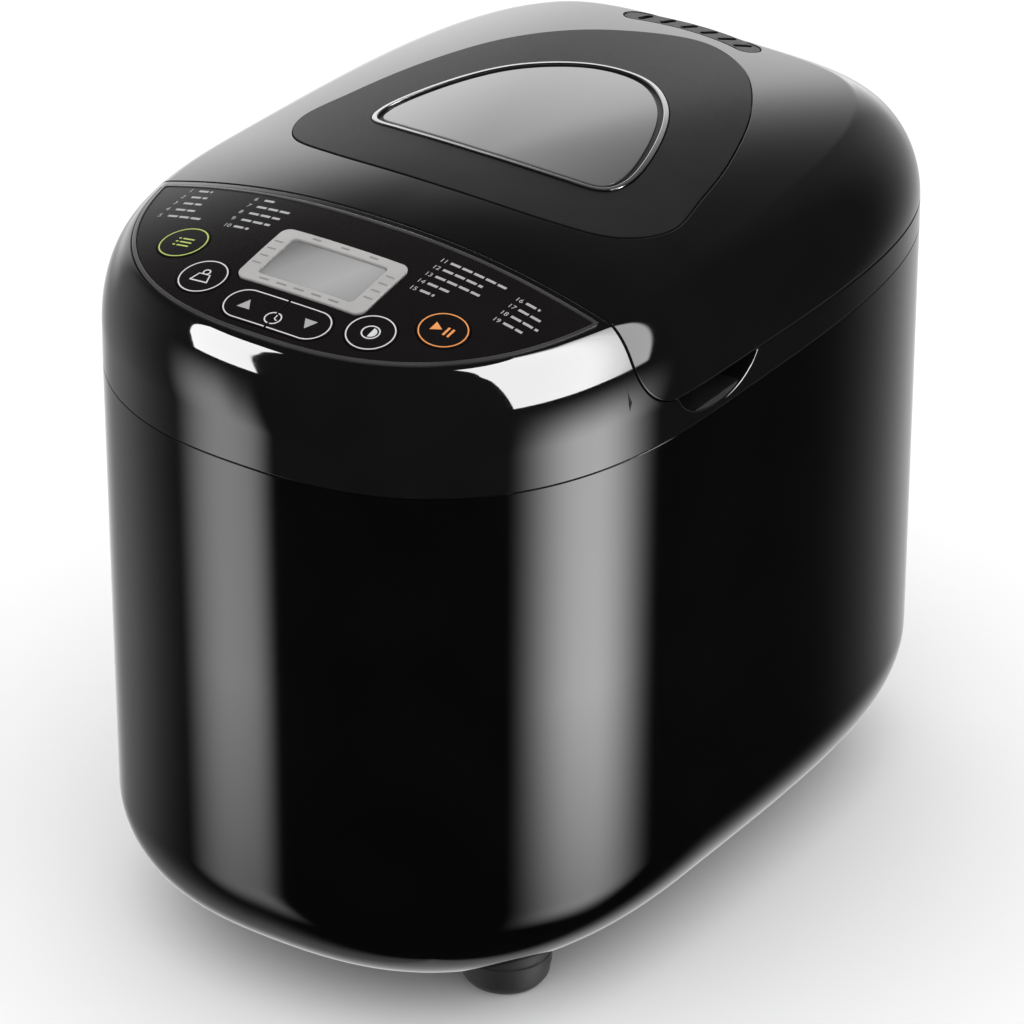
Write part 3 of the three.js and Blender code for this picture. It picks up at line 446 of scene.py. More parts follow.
def node(tree, kind, inputs=(), **settings):
    """New shader node; each input is given a value or the output that it is linked to."""
    made = tree.nodes.new("ShaderNode" + kind)
    for key, value in settings.items():
        setattr(made, key, value)
    for socket, value in dict(inputs).items():
        if isinstance(value, bpy.types.NodeSocket):
            tree.links.new(value, made.inputs[socket])
        else:
            made.inputs[socket].default_value = value
    return made


def noise(tree, scale, detail=3.0, stretch=(1, 1, 1)):
    """Noise over the object's own coordinates, in repeats per metre."""
    coordinate = node(tree, "TexCoord").outputs["Object"]
    mapping = node(tree, "Mapping", {"Vector": coordinate, "Scale": stretch})
    texture = {"Vector": mapping.outputs["Vector"], "Scale": scale, "Detail": detail}
    return node(tree, "TexNoise", texture).outputs["Fac"]


def ramp(tree, source, stops):
    """Colour ramp over (position, colour) stops."""
    made = node(tree, "ValToRGB", {"Fac": source})
    elements = made.color_ramp.elements
    while len(elements) < len(stops):
        elements.new(0.5)
    for element, (position, color) in zip(elements, stops):
        element.position = position
        element.color = (*np.broadcast_to(color, 3), 1)
    return made.outputs["Color"]


def spread(tree, source, low, high, from_low=0.0, from_high=1.0, **settings):
    """Maps source from one range to another."""
    return node(tree, "MapRange", {
        "Value": source, "From Min": from_low, "From Max": from_high, "To Min": low, "To Max": high},
        **settings).outputs["Result"]


def bump(tree, bsdf, height, strength, distance):
    made = node(tree, "Bump", {"Height": height, "Strength": strength, "Distance": distance})
    tree.links.new(made.outputs["Normal"], bsdf.inputs["Normal"])


def finish_surface(
        name, dark, light, rough, grain, bump_strength, bump_mm, stretch=(1, 1, 1), **settings):
    """Material whose colour, roughness and relief vary with a fine grain."""
    material, tree, bsdf = shader(name, **settings)
    fine = noise(tree, grain, 4, stretch)
    broad = noise(tree, grain / 30, 2)
    tree.links.new(ramp(tree, broad, [(0.3, dark), (0.7, light)]), bsdf.inputs["Base Color"])
    tree.links.new(spread(tree, fine, rough[0], rough[1], 0.3, 0.7), bsdf.inputs["Roughness"])
    bump(tree, bsdf, fine, bump_strength, bump_mm * MM)
    return material


def ink(name, dark, light):
    return finish_surface("print_" + name, dark, light, (0.4, 0.5), 1500, 0.05, 0.01)


GLOSS = finish_surface(
    "gloss_black", 0.0012, 0.0018, (0.055, 0.075), 900, 0.02, 0.01)
COLLAR = finish_surface(
    "gloss_black_collar", 0.0042, 0.0054, (0.03, 0.045), 900, 0.02, 0.01)
MATTE = finish_surface(
    "matte_insert", 0.0065, 0.009, (0.42, 0.54), 2600, 0.25, 0.03, Specular_IOR_Level=0.15)
BLACK = finish_surface(
    "matte_black", 0.009, 0.013, (0.42, 0.55), 2200, 0.25, 0.03, Specular_IOR_Level=0.35)
FILM = finish_surface(
    "panel_film", (0.0072, 0.0058, 0.0062), (0.0085, 0.0068, 0.0074), (0.22, 0.3), 1800, 0.05, 0.02,
    Specular_IOR_Level=0.06)
BEZEL = finish_surface("panel_bezel", 0.035, 0.05, (0.2, 0.28), 1500, 0.05, 0.02)
RUBBER = finish_surface("foot_rubber", 0.018, 0.026, (0.55, 0.7), 1800, 0.3, 0.04)
GREY = finish_surface("grey_trim", (0.36, 0.355, 0.35), (0.42, 0.412, 0.405), (0.28, 0.4), 1600, 0.08, 0.02)
CHROME = finish_surface(
    "dark_chrome", 0.3, 0.36, (0.1, 0.16), 1600, 0.04, 0.01, Metallic=1.0)
STEEL = finish_surface(
    "sheet_steel", 0.42, 0.5, (0.24, 0.34), 500, 0.03, 0.01, (1, 12, 1), Metallic=1.0)
ALUMINIUM = finish_surface(
    "cast_aluminium", 0.5, 0.58, (0.3, 0.48), 900, 0.3, 0.04, Metallic=1.0)
NON_STICK = finish_surface(
    "non_stick", 0.03, 0.045, (0.32, 0.5), 2200, 0.25, 0.03, Metallic=0.2)
BRONZE = finish_surface(
    "bronze", (0.42, 0.28, 0.12), (0.5, 0.34, 0.16), (0.28, 0.45), 900, 0.2, 0.03, Metallic=1.0)
ELEMENT = finish_surface(
    "element", (0.1, 0.085, 0.075), (0.16, 0.14, 0.12), (0.4, 0.6), 600, 0.3, 0.04, Metallic=0.8)
CERAMIC = finish_surface("ceramic", (0.7, 0.66, 0.58), (0.78, 0.74, 0.66), (0.45, 0.6), 900, 0.2, 0.03)
BOARD = finish_surface("board_green", (0.012, 0.08, 0.03), (0.02, 0.12, 0.045), (0.3, 0.5), 700, 0.1, 0.02)
NYLON = finish_surface("pulley_nylon", (0.55, 0.53, 0.48), (0.62, 0.6, 0.55), (0.35, 0.5), 900, 0.15, 0.03)
PRINT_WHITE = ink("white", 0.56, 0.62)
PRINT_GREY = ink("grey", 0.34, 0.38)
PRINT_DARK = ink("dark", 0.2, 0.23)
PRINT_GREEN = ink("green", (0.4, 0.52, 0.1), (0.44, 0.56, 0.12))
PRINT_ORANGE = ink("orange", (0.75, 0.27, 0.06), (0.8, 0.3, 0.07))


def position_fade(tree, start, end):
    """0 at one point of the object's own coordinates and 1 at another, along the line between them."""
    a, b = Vector(start) * MM, Vector(end) * MM
    direction = (b - a) / (b - a).length_squared
    coordinate = node(tree, "TexCoord").outputs["Object"]
    dot = node(tree, "VectorMath", {0: coordinate, 1: direction}, operation="DOT_PRODUCT")
    return spread(tree, dot.outputs["Value"], 0, 1, a.dot(direction), a.dot(direction) + 1)


def glass_material(name, start, end, stops, **settings):
    """Glass toned from one point to another, with a slightly uneven polish."""
    material, tree, bsdf = shader(name, **settings)
    tree.links.new(ramp(tree, position_fade(tree, start, end), stops), bsdf.inputs["Base Color"])
    fine = noise(tree, 400)
    tree.links.new(spread(tree, fine, 0.04, 0.08), bsdf.inputs["Roughness"])
    return material


# Painted shade on the reflections: the lower wall reflects less towards the floor, its specular level falling
# with height so the highlights dim downwards: heights, and the specular level at each.
GLOSS_HEIGHTS, GLOSS_LEVELS = (50, 140), (0.2, 0.5)
gloss_tree = GLOSS.node_tree
painted_reflection_fade = position_fade(gloss_tree, *((0, 0, z) for z in GLOSS_HEIGHTS))
gloss_tree.links.new(
    spread(gloss_tree, painted_reflection_fade, *GLOSS_LEVELS),
    gloss_tree.nodes["Principled BSDF"].inputs["Specular IOR Level"])

# Painted reflection: the window glass's grey fades from lighter at the left to darker at the right, in place
# of the studio mirrored in the pane.
WINDOW_GLASS_PAINTED_REFLECTION = glass_material(
    "window_glass", (-40, 20, 290), (50, 20, 290),
    [(0, 0.22), (0.5, 0.18), (1, 0.1)], Specular_IOR_Level=0.5)
# Painted shade: the display glass is darker at its back left corner, a painted inner shadow, and lighter
# towards the front right.
DISPLAY_GLASS_PAINTED_SHADE = glass_material(
    "display_glass", (-18, -110, 280), (16, -128, 280),
    [(0, 0.17), (0.25, 0.28), (0.7, 0.36), (1, 0.3)], Specular_IOR_Level=0.3)
CLEAR = glass_material(
    "inner_glass", (-40, 20, 245), (50, 20, 245), [(0, 0.7), (1, 0.8)],
    Transmission_Weight=0.9, IOR=1.45)

# ---- lower body
FOOT_INSET = TAPER * (SEAM_Z - BODY_BOTTOM - BOTTOM_RADIUS)


def ring_rows(rows):
    """Rows x columns x 3 from (inset, height) pairs; each is a number or one value a column."""
    out = []
    for inset, height in rows:
        plan = PLAN - PLAN_NORMAL * np.broadcast_to(inset, COLUMNS)[:, None]
        out.append(np.column_stack([plan, np.broadcast_to(height, COLUMNS)]))
    return np.array(out)


def body_rows(turn_steps=24, wall_steps=44):
    """Rows from under the bottom edge, round it and up the wall to the seam."""
    rows = [(FOOT_INSET + BOTTOM_RADIUS + d, BODY_BOTTOM) for d in (5.5, 3.0, 1.0)]
    for step in range(turn_steps + 1):
        turn = 0.5 * math.pi * (1 - step / turn_steps)
        rows.append((
            FOOT_INSET + BOTTOM_RADIUS * (1 - math.cos(turn)),
            BODY_BOTTOM + BOTTOM_RADIUS * (1 - math.sin(turn))))
    low = BODY_BOTTOM + BOTTOM_RADIUS
    for t in (step / wall_steps for step in range(1, wall_steps + 1)):
        rows.append((FOOT_INSET * (1 - t), low + (seam(PLAN[:, 1]) - SKIN - low) * t))
    return rows


body = grid(ring_rows(body_rows()), closed=True)
body.cut(back_box(GRILLE.half_x + GAP, GRILLE.low - GAP, GRILLE.high + GAP, 6), 0.5)
body.cut(back_box(GLAND.hole, GLAND.z - GLAND.hole, GLAND.z + GLAND.hole, GLAND.hole, GLAND.x), 0.3)
make("outer_body_shell", body.solid(0.35, 1.6, 2.4), GLOSS, "housing", ["outer_body"])


# ---- upper surface of housing and lid
def upper_rows(shoulder_steps=40):
    """Rows from the seam over the shoulder and crease to near the middle, the crease slightly rounded."""
    y = PLAN[:, 1]
    rows = [(0, seam(y) + (lid_line(y) - seam(y)) * t) for t in (0.02, 0.1, 0.35, 0.65, 0.9, 1.0)]
    for step in range(1, shoulder_steps + 1):
        rows.append(shoulder(y, SHOULDER_TURN * step / shoulder_steps))
    points = ring_rows(rows)
    crease = points[-1]
    inner = []
    for k in np.concatenate([np.linspace(0.995, 0.9, 20), np.linspace(0.885, 0.1, 52)]):
        x = crease[:, 0] * k
        y = WIDEST_Y + (crease[:, 1] - WIDEST_Y) * k
        inner.append(np.column_stack([x, y, crease_z(y) + DOME_RISE * (1 - k * k)]))
    return soften(np.concatenate([points, np.array(inner)]), len(rows) - 1)


def soften(points, row, reach=16):
    """Rounds the fold along one row, wider at the front than at the back."""
    low, high = row - reach, row + reach
    band = points[low:high]
    steps = np.linalg.norm(np.diff(band, axis=0), axis=2)
    run = np.concatenate([np.zeros((1, steps.shape[1])), np.cumsum(steps, axis=0)])
    run = run - run[reach]
    width = 0.75 + 1.1 * smoothstep(-60, -120, points[row, :, 1])
    weight = np.exp(-0.5 * ((run[:, None] - run[None]) / width) ** 2)
    weight = weight * np.gradient(run, axis=0)[None]
    rounded = np.einsum("ijc,jck->ick", weight, band) / weight.sum(1)[..., None]
    fade = (1 - smoothstep(2.0, 3.4, np.abs(run) / width))[..., None]
    result = points.copy()
    result[low:high] = band * (1 - fade) + rounded * fade
    return result


UPPER = upper_rows()


def upper_sheet():
    return grid(UPPER, closed=True)


collar = upper_sheet()
collar.cut(lid_inside, LID_GAP / 2 + SKIN - 0.2)
collar.cut(panel_inside, 0.35)
collar.cut(notch_inside, 0.8)
collar.cut(lambda p: np.minimum(
    HINGE.relief - np.hypot(p[:, 1] - HINGE.y, p[:, 2] - HINGE.z),
    HINGE.half_x - np.abs(p[:, 0])), 0.45)
collar_piece = make(
    "top_housing_shell", collar.solid(0.45, 1.4, 2.6), COLLAR, "housing", ["top_housing"])

lid = upper_sheet()
lid.clip(lid_inside, LID_GAP / 2 + SKIN)
lid.cut(inside_loop(INSERT_LOOP, GAP), 0.5)
lid.cut(vent_inside, 0.8)
make("lid_outer_shell", lid.solid(0.6, 1.5, 2.6), COLLAR, "lid", ["lid_shell"])


# ---- finger notches
def outline_x(y):
    """Half width of the plan outline at a y."""
    depth = np.where(y < WIDEST_Y, FRONT_DEPTH, BACK_DEPTH)
    power = np.where(y < WIDEST_Y, FRONT_POWER, BACK_POWER)
    return HALF_WIDTH * (1 - (np.abs(y - WIDEST_Y) / depth) ** power) ** (1 / power)


# Share of the depth to the flat back, and size against the notch.
NOTCH_SECTION = [
    (0, 1.03), (0.35, 1.02), (0.75, 1.0), (0.9, 0.975), (0.97, 0.93), (1, 0.86), (1, 0.5), (1, 0.02)]


def notch_pocket(side):
    """Scoop behind one finger notch: a wall that follows the notch, rounded into a flat back."""
    turns = np.linspace(math.pi, 2 * math.pi, 61)
    rows = []
    for depth, size in NOTCH_SECTION:
        y, z = on_ellipse(NOTCH.y, NOTCH.z, NOTCH.half_y * size, NOTCH.half_z * size, turns).T
        front = outline_x(y) - 1.6
        x = front + (NOTCH.back_x - front) * depth
        rows.append(np.column_stack([side * x, y, z]))
    pocket = grid(np.array(rows))
    pocket.clip(lambda p: lid_line(p[:, 1]) - 0.5 - p[:, 2])
    return facing(pocket, np.array([side * 130.0, NOTCH.y, NOTCH.z + 10]))


def facing(sheet, point):
    """Turns a sheet over if it doesn't face a point."""
    middle = sheet.points.mean(0)
    if ((point - middle) @ sheet.normals.mean(0)) < 0:
        sheet.normals = -sheet.normals
    a, b, c = (sheet.points[i] for i in sheet.faces[0][:3])
    if np.cross(b - a, c - a) @ sheet.normals[sheet.faces[0][0]] < 0:
        sheet.faces = [face[::-1] for face in sheet.faces]
    return sheet


for side, word in SIDES:
    pocket = notch_pocket(side)
    make("finger_notch_" + word, pocket.solid(0.05, 1.0), COLLAR, "housing")

# ---- control panel
PANEL_BOX = (-96, 96, -160, -82)


def pill(grow=0.0):
    half = TIMER.half_y + grow
    return rounded_box(0, TIMER.y, TIMER.half_x + grow, half, half)


bezel = dome_sheet(*PANEL_BOX, 0.9, 0.3).clip(panel_inside, 0.65).cut(panel_inside, -1.55)
make("panel_bezel_trim", bezel.solid(0.35, 1.4), BEZEL, "housing", ["panel_bezel"])

film = dome_sheet(*PANEL_BOX, 0.9).clip(panel_inside, 2.35)
film.cut(rounded_box(0, LCD.y, LCD.half_x + GAP, LCD.half_y + GAP, 4), 0.15)
film.cut(pill(GAP), 0.15)
for x, y in ROUND_KEYS.values():
    film.cut(circle(x, y, KEY_RADIUS + GAP), 0.15)
make("control_panel_film", film.solid(0.15, 1.2), FILM, "housing", ["control_panel"])

for name, (x, y) in ROUND_KEYS.items():
    cap = dome_sheet(x - 10, x + 10, y - 10, y + 10, 0.6, KEY_PROUD).clip(circle(x, y, KEY_RADIUS), 0.3)
    make(name + "_cap", cap.solid(0.3, 1.3), FILM, name, [name])
for name, side in (("timer_up_key", -1), ("timer_down_key", 1)):
    x0, x1 = sorted((0, side * 25))
    cap = dome_sheet(x0, x1, TIMER.y - 9, TIMER.y + 9, 0.6, KEY_PROUD)
    cap.clip(lambda p, side=side: np.minimum(pill()(p), p[:, 0] * side - GAP), 0.3)
    make(name + "_cap", cap.solid(0.3, 1.3), FILM, name, [name])

glass_hole = rounded_box(0, LCD.y, LCD.glass_x, LCD.glass_y, 2)
LCD_PROUD = 0.65
lcd = dome_sheet(-28.4, 28.4, LCD.y - 16.7, LCD.y + 16.7, 0.6, LCD_PROUD)
lcd.clip(rounded_box(0, LCD.y, LCD.half_x, LCD.half_y, 4), 0.55).cut(glass_hole, 0.5)
make("lcd_frame_trim", lcd.solid(0.5, 1.3), GREY, "housing", ["lcd_frame"])
display = dome_sheet(-21.8, 21.8, LCD.y - 12.4, LCD.y + 12.4, 0.8, -0.45)
display.clip(rounded_box(0, LCD.y, LCD.glass_x - 0.1, LCD.glass_y - 0.1, 1.8), 0.1)
make("lcd_display_glass", display.solid(0.1, 1.2), DISPLAY_GLASS_PAINTED_SHADE, "housing", ["lcd_display"])


# ---- printed marks
class Print:
    """Thin marks laid on the top surface, gathered into one piece."""
    THICK = 0.05

    def __init__(self, proud):
        self.proud, self.points, self.faces = proud, [], []

    def prism(self, outline):
        """Filled convex outline, given as plan points counterclockwise."""
        self.add(np.array(outline, float), [tuple(range(len(outline)))])

    def add(self, plan, tops):
        start, n = len(self.points), len(plan)
        normal = dome_normal(plan[:, 0], plan[:, 1])
        base = np.column_stack([plan, dome(plan[:, 0], plan[:, 1])])
        self.points += list(base + normal * (self.proud + self.THICK))
        self.points += list(base + normal * (self.proud - self.THICK))
        edges = {(f[i], f[(i + 1) % len(f)]) for f in tops for i in range(len(f))}
        self.faces += [tuple(start + i for i in f) for f in tops]
        self.faces += [tuple(start + n + i for i in f[::-1]) for f in tops]
        self.faces += [
            (start + b, start + a, start + n + a, start + n + b)
            for a, b in sorted(edges) if (b, a) not in edges]

    def stroke(self, path, width, closed=False):
        """Line of constant width along plan points."""
        path = np.array(path, float)
        if closed:
            along = np.roll(path, -1, 0) - np.roll(path, 1, 0)
        else:
            along = np.gradient(path, axis=0)
        side = unit(np.column_stack([-along[:, 1], along[:, 0]])) * width / 2
        n = len(path)
        plan = np.concatenate([path - side, path + side])
        last = n if closed else n - 1
        self.add(plan, [(i, (i + 1) % n, n + (i + 1) % n, n + i) for i in range(last)])

    def arc(self, x, y, radius, width, start=0.0, end=360.0):
        whole = end - start >= 360
        turns = np.radians(np.linspace(start, end, 73))[:-1 if whole else None]
        self.stroke(on_ellipse(x, y, radius, radius, turns), width, whole)

    def bar(self, x, y, length, width):
        self.stroke(np.column_stack([np.linspace(x, x + length, 5), np.full(5, y)]), width)

    def number(self, value, x, y, height):
        """Digits with their lower left corner at x, y; the font's own digits are 0.72 high."""
        curve = bpy.data.curves.new("digits", "FONT")
        curve.body = str(value)
        curve.resolution_u = 3
        holder = bpy.data.objects.new("digits", curve)
        mesh = bpy.data.meshes.new_from_object(holder)
        plan = np.array([v.co[:2] for v in mesh.vertices]) * height / 0.72 + (x, y)
        tops = []
        for polygon in mesh.polygons:
            face = tuple(polygon.vertices)
            tops.append(face if polygon.normal.z > 0 else face[::-1])
        self.add(plan, tops)
        bpy.data.objects.remove(holder)
        bpy.data.meshes.remove(mesh)
        bpy.data.curves.remove(curve)

    def make(self, name, material, body, slot="panel_film"):
        points = np.array(self.points)
        sheet = Sheet(points, points, self.faces)
        return make(name, sheet, material, body, smooth=False)


RING_RADIUS, RING_WIDTH = 8.9, 0.5
LINE = 0.55
KEY_MARK_PROUD = KEY_PROUD + 0.02


def key_print(name):
    """Marks for a round key, begun with its ring, and the key's centre."""
    marks = Print(KEY_MARK_PROUD)
    x, y = ROUND_KEYS[name]
    marks.arc(x, y, RING_RADIUS, RING_WIDTH)
    return marks, x, y


menu, x, y = key_print("menu_key")
for row in (-1, 0, 1):
    menu.bar(x - 3.4, y + row * 2.1, 1.0, 0.7)
    menu.bar(x - 1.6, y + row * 2.1, 5.0, 0.7)
menu.make("menu_key_mark", PRINT_GREEN, "menu_key")

weight, x, y = key_print("weight_key")
weight.arc(x, y + 2.4, 1.3, LINE)
outline = [(-3.6, -3), (-2.3, 1.1), (0, 1.15), (2.3, 1.1), (3.6, -3)]
weight.stroke([(x + dx, y + dy) for dx, dy in outline], LINE)
weight.bar(x - 3.8, y - 3, 7.6, 0.6)
weight.make("weight_key_mark", PRINT_WHITE, "weight_key")

colour, x, y = key_print("colour_key")
colour.arc(x, y, 3.3, LINE)
half_turn = np.radians(np.linspace(-90, 90, 19))
colour.prism(on_ellipse(x, y, 2.4, 2.4, half_turn))
colour.make("colour_key_mark", PRINT_WHITE, "colour_key")

start, x, y = key_print("start_key")
start.prism([(x - 4.3, y - 2.4), (x - 0.5, y), (x - 4.3, y + 2.4)])
for offset in (1.3, 3.2):
    start.stroke([(x + offset, y - 2.3), (x + offset, y), (x + offset, y + 2.3)], 0.9)
start.make("start_key_mark", PRINT_ORANGE, "start_key")


def half_ring(side):
    """Line round one half of the timer key, its straight runs cut into short steps."""
    half = TIMER.half_y - 0.8
    centre = side * (TIMER.half_x - TIMER.half_y)
    turns = np.linspace(-0.5 * math.pi, 0.5 * math.pi, 37)
    start, end = (np.array((side * 0.5, TIMER.y + way * half)) for way in (-1, 1))
    path = [start, *on_ellipse(centre, TIMER.y, side * half, half, turns), end]
    dense = []
    for a, b in zip(path, path[1:]):
        dense += [a + (b - a) * t for t in (np.arange(7) / 7 if abs(a[0] - b[0]) > 3 else [0.0])]
    return dense + path[-1:]


for name, side in (("timer_up_key", -1), ("timer_down_key", 1)):
    marks = Print(KEY_MARK_PROUD)
    marks.stroke(half_ring(side), RING_WIDTH)
    clock_y = TIMER.y - 2.6
    marks.arc(side * 0.2, clock_y, 2.9, 0.5, *((95, 265) if side < 0 else (-85, 85)))
    if side > 0:
        marks.stroke([(0.6, clock_y + 1.9), (0.6, clock_y), (1.9, clock_y - 0.7)], 0.45)
    marks.make(name + "_mark", PRINT_WHITE, name)
    arrow = Print(KEY_MARK_PROUD)
    x, up = side * 13.5, -side
    base_y, tip_y = TIMER.y - 2.2 * up, TIMER.y + 2.6 * up
    arrow.prism([(x - 2.7, base_y), (x + 2.7, base_y), (x, tip_y)][::up])
    arrow.make(name + "_arrow", PRINT_GREY, name)

# Numbered list of programs: each number is followed by plain bars where a name would stand.
LIST_PITCH, LIST_HEIGHT = 4.8, 2.3
NUMBER_WIDTH, WORD_LENGTH, WORD_GAP = 4.4, 4.2, 0.9
# First number, x, y of the first row, and the length of each row's bars.
PROGRAM_COLUMNS = [
    (1, -81.5, -88.0, (6, 7, 8, 8.5, 15)),
    (6, -51.5, -88.6, (5, 15, 13.5, 12.5, 6.5)),
    (11, 33, -92, (24, 17, 19, 9, 6)),
    (16, 67, -94, (6, 10, 11.5, 8)),
]
listing = Print(0.02)
for first, x, top, lengths in PROGRAM_COLUMNS:
    for row, length in enumerate(lengths):
        y = top - row * LIST_PITCH
        listing.number(first + row, x, y - LIST_HEIGHT / 2, LIST_HEIGHT)
        at, remaining = x + NUMBER_WIDTH, length
        while remaining > 0.8:
            word = min(remaining, WORD_LENGTH)
            listing.bar(at, y, word, 1.25)
            at, remaining = at + word + WORD_GAP, remaining - word - WORD_GAP
listing.make("program_list", PRINT_GREY, "housing")

ticks = Print(LCD_PROUD + 0.02)
for row in range(4):
    y = LCD.y + 7.2 - row * 4.6
    ticks.bar(-LCD.half_x + 1.6, y, 3.6, 0.7)
    ticks.bar(LCD.half_x - 5.2, y, 3.6, 0.7)
for column in range(3):
    ticks.bar(-14 + column * 12.5, LCD.y + 13.8, 3.4, 0.8)
for column in range(5):
    ticks.bar(-18 + column * 7.6, LCD.y - 13.8, 4.2, 0.8)
ticks.make("lcd_frame_marks", PRINT_DARK, "housing", "grey_trim")

# ---- lid top
window_inside = inside_loop(WINDOW_LOOP)
insert_inside = inside_loop(INSERT_LOOP)
insert = dome_sheet(-84, 84, -54, 127, 1.5, 0.3).clip(insert_inside, 0.35)
insert.cut(window_inside, 2.65)
make("lid_insert_skin", insert.solid(0.35, 1.0), MATTE, "lid", ["lid_insert"])

WINDOW_BOX = (-58, 58, -25, 80)
trim = dome_sheet(*WINDOW_BOX, 0.9, 0.75).clip(window_inside, -1.6).cut(window_inside, 0.5)
make("window_frame_ring", trim.solid(0.5, 2.4), CHROME, "lid", ["window_frame"])
GASKET = 2.0
gasket = dome_sheet(*WINDOW_BOX, 0.9, -0.7).clip(window_inside, 0.1).cut(window_inside, -GASKET)
make("window_gasket", gasket.solid(0.1, 1.4), BLACK, "lid")
pane = dome_sheet(*WINDOW_BOX, 1.6, 0.1).clip(window_inside, GASKET + 0.5)
make("window_pane_glass", pane.solid(0.4, 1.6), WINDOW_GLASS_PAINTED_REFLECTION, "lid", ["window_pane"])


LOUVRES = 6
VENT_BOX = (-38, 28, 126, 146)


def louvre(index):
    """One slanted slot of the vent."""
    angle = VENT.half_angle * 0.86 * (2 * index / (LOUVRES - 1) - 1)
    x = VENT.x + VENT.radius * math.sin(angle)
    y = VENT.y + VENT.radius * math.cos(angle)
    turn = -angle - 0.5
    shape = rounded_box(0, 0, 1.3, 3.7, 1.25)

    def inside(p):
        dx, dy = p[:, 0] - x, p[:, 1] - y
        across = dx * math.cos(turn) + dy * math.sin(turn)
        along = dy * math.cos(turn) - dx * math.sin(turn)
        return shape(np.column_stack([across, along]))
    return inside


vent = dome_sheet(*VENT_BOX, 0.5, -0.15).clip(vent_inside, 0.35)
for index in range(LOUVRES):
    vent.cut(louvre(index), 0.2)
make("vent_grille", vent.solid(0.2, 1.6), BLACK, "lid", ["lid_vent_grille"])
baffle = dome_sheet(*VENT_BOX, 1.0, -2.6).clip(vent_inside, 0.4)
make("vent_baffle", baffle.solid(0.1, 0.6), BLACK, "lid")


# ---- feet
def rounded_profile(profile, radius, steps=4):
    """Corner-rounded copy of an open (radius, z) line."""
    line = [np.array(p, float) for p in profile]
    out = [line[0]]
    for before, corner, after in zip(line, line[1:], line[2:]):
        a, b = before - corner, after - corner
        cut = min(radius, 0.45 * np.linalg.norm(a), 0.45 * np.linalg.norm(b))
        start, end = corner + a / np.linalg.norm(a) * cut, corner + b / np.linalg.norm(b) * cut
        for k in range(steps + 1):
            t = k / steps
            out.append((1 - t) ** 2 * start + 2 * t * (1 - t) * corner + t * t * end)
    out.append(line[-1])
    return out


def turned(profile, x, y, columns=72):
    """Sheet turned about an upright axis, closed by a point at each end."""
    turns = np.linspace(0, 2 * math.pi, columns + 1)[:-1]
    rows = []
    for r, z in profile:
        r = max(r, 0.01)
        rows.append(np.column_stack([on_ellipse(x, y, r, r, turns), np.full(columns, z)]))
    sheet = grid(np.array(rows), closed=True)
    for index in (0, len(rows) - 1):
        centre = len(sheet.points)
        ring = sheet.normals[index * columns:(index + 1) * columns]
        sheet.points = np.vstack([sheet.points, rows[index].mean(0)])
        sheet.normals = np.vstack([sheet.normals, unit(ring.mean(0))])
        for c in range(columns):
            a, b = index * columns + c, index * columns + (c + 1) % columns
            sheet.faces.append((centre, a, b) if index else (centre, b, a))
    return sheet


FEET = {
    "foot_front_left": (-65, -98), "foot_front_right": (65, -98),
    "foot_rear_left": (-62, 114), "foot_rear_right": (62, 114)}
FOOT_PROFILE = [
    (0, 0), (10.8, 0), (14.4, 1.0), (16.6, 4.2), (17.5, 9.5), (17.5, 13), (16.9, 13.6), (17.5, 14.2),
    (17.5, 21.5), (0, 21.5)]
for name, (x, y) in FEET.items():
    foot = turned(rounded_profile(FOOT_PROFILE, 1.2), x, y)
    make(name + "_pad", foot, RUBBER, "housing", [name])


# ---- deck under the lid
WALL_LOOP = (FINE_PLAN - FINE_NORMAL * 1.3)[::4]


def section_top(x, y):
    """Height of the outside over a plan point, over the shoulder as well as the dome."""
    inset = np.maximum(outline_x(y) - np.abs(x), 0)
    share = np.clip(inset / crease_inset(y), 0, 1)
    turn = np.arccos(1 - share * (1 - math.cos(SHOULDER_TURN)))
    return np.where(share < 1, shoulder(y, turn)[1], dome(x, y))


def make_black(name, sheet):
    return make(name, sheet, BLACK, "housing")


def facing_all(x, direction):
    """The same normal at every point of a grid."""
    return np.broadcast_to(np.array(direction, float), (*x.shape, 3))


x, y = plan_grid(-114, 114, DECK.front + 2, 169, 3.0)
deck = grid(np.stack([x, y, np.full_like(x, DECK.top)], -1), normals=facing_all(x, (0, 0, 1)))
deck.clip(inside_loop(WALL_LOOP), 0.3)
deck.cut(rounded_box(0, DRIVE_Y, DECK.half_x, DECK.half_y, DECK.radius), 0.6)
deck.cut(rounded_box(0, HINGE.y, HINGE.half_x + 0.4, 11.5, 1), 0.1)
make_black("housing_deck", deck.solid(0.6, DECK.thick))

BULKHEAD_Y = -83.5
x, z = np.meshgrid(np.linspace(-110, 110, 161), np.linspace(DECK.top - DECK.thick, 300, 61))
bulkhead = grid(np.stack([x, np.full_like(x, BULKHEAD_Y), z], -1), normals=facing_all(x, (0, 1, 0)))
bulkhead = facing(bulkhead, np.array([0, DRIVE_Y, DECK.top]))
bulkhead.clip(lambda p: section_top(p[:, 0], BULKHEAD_Y) - 2.9 - p[:, 2], 0.0)
make_black("housing_bulkhead", bulkhead.solid(0.3, 2.0))

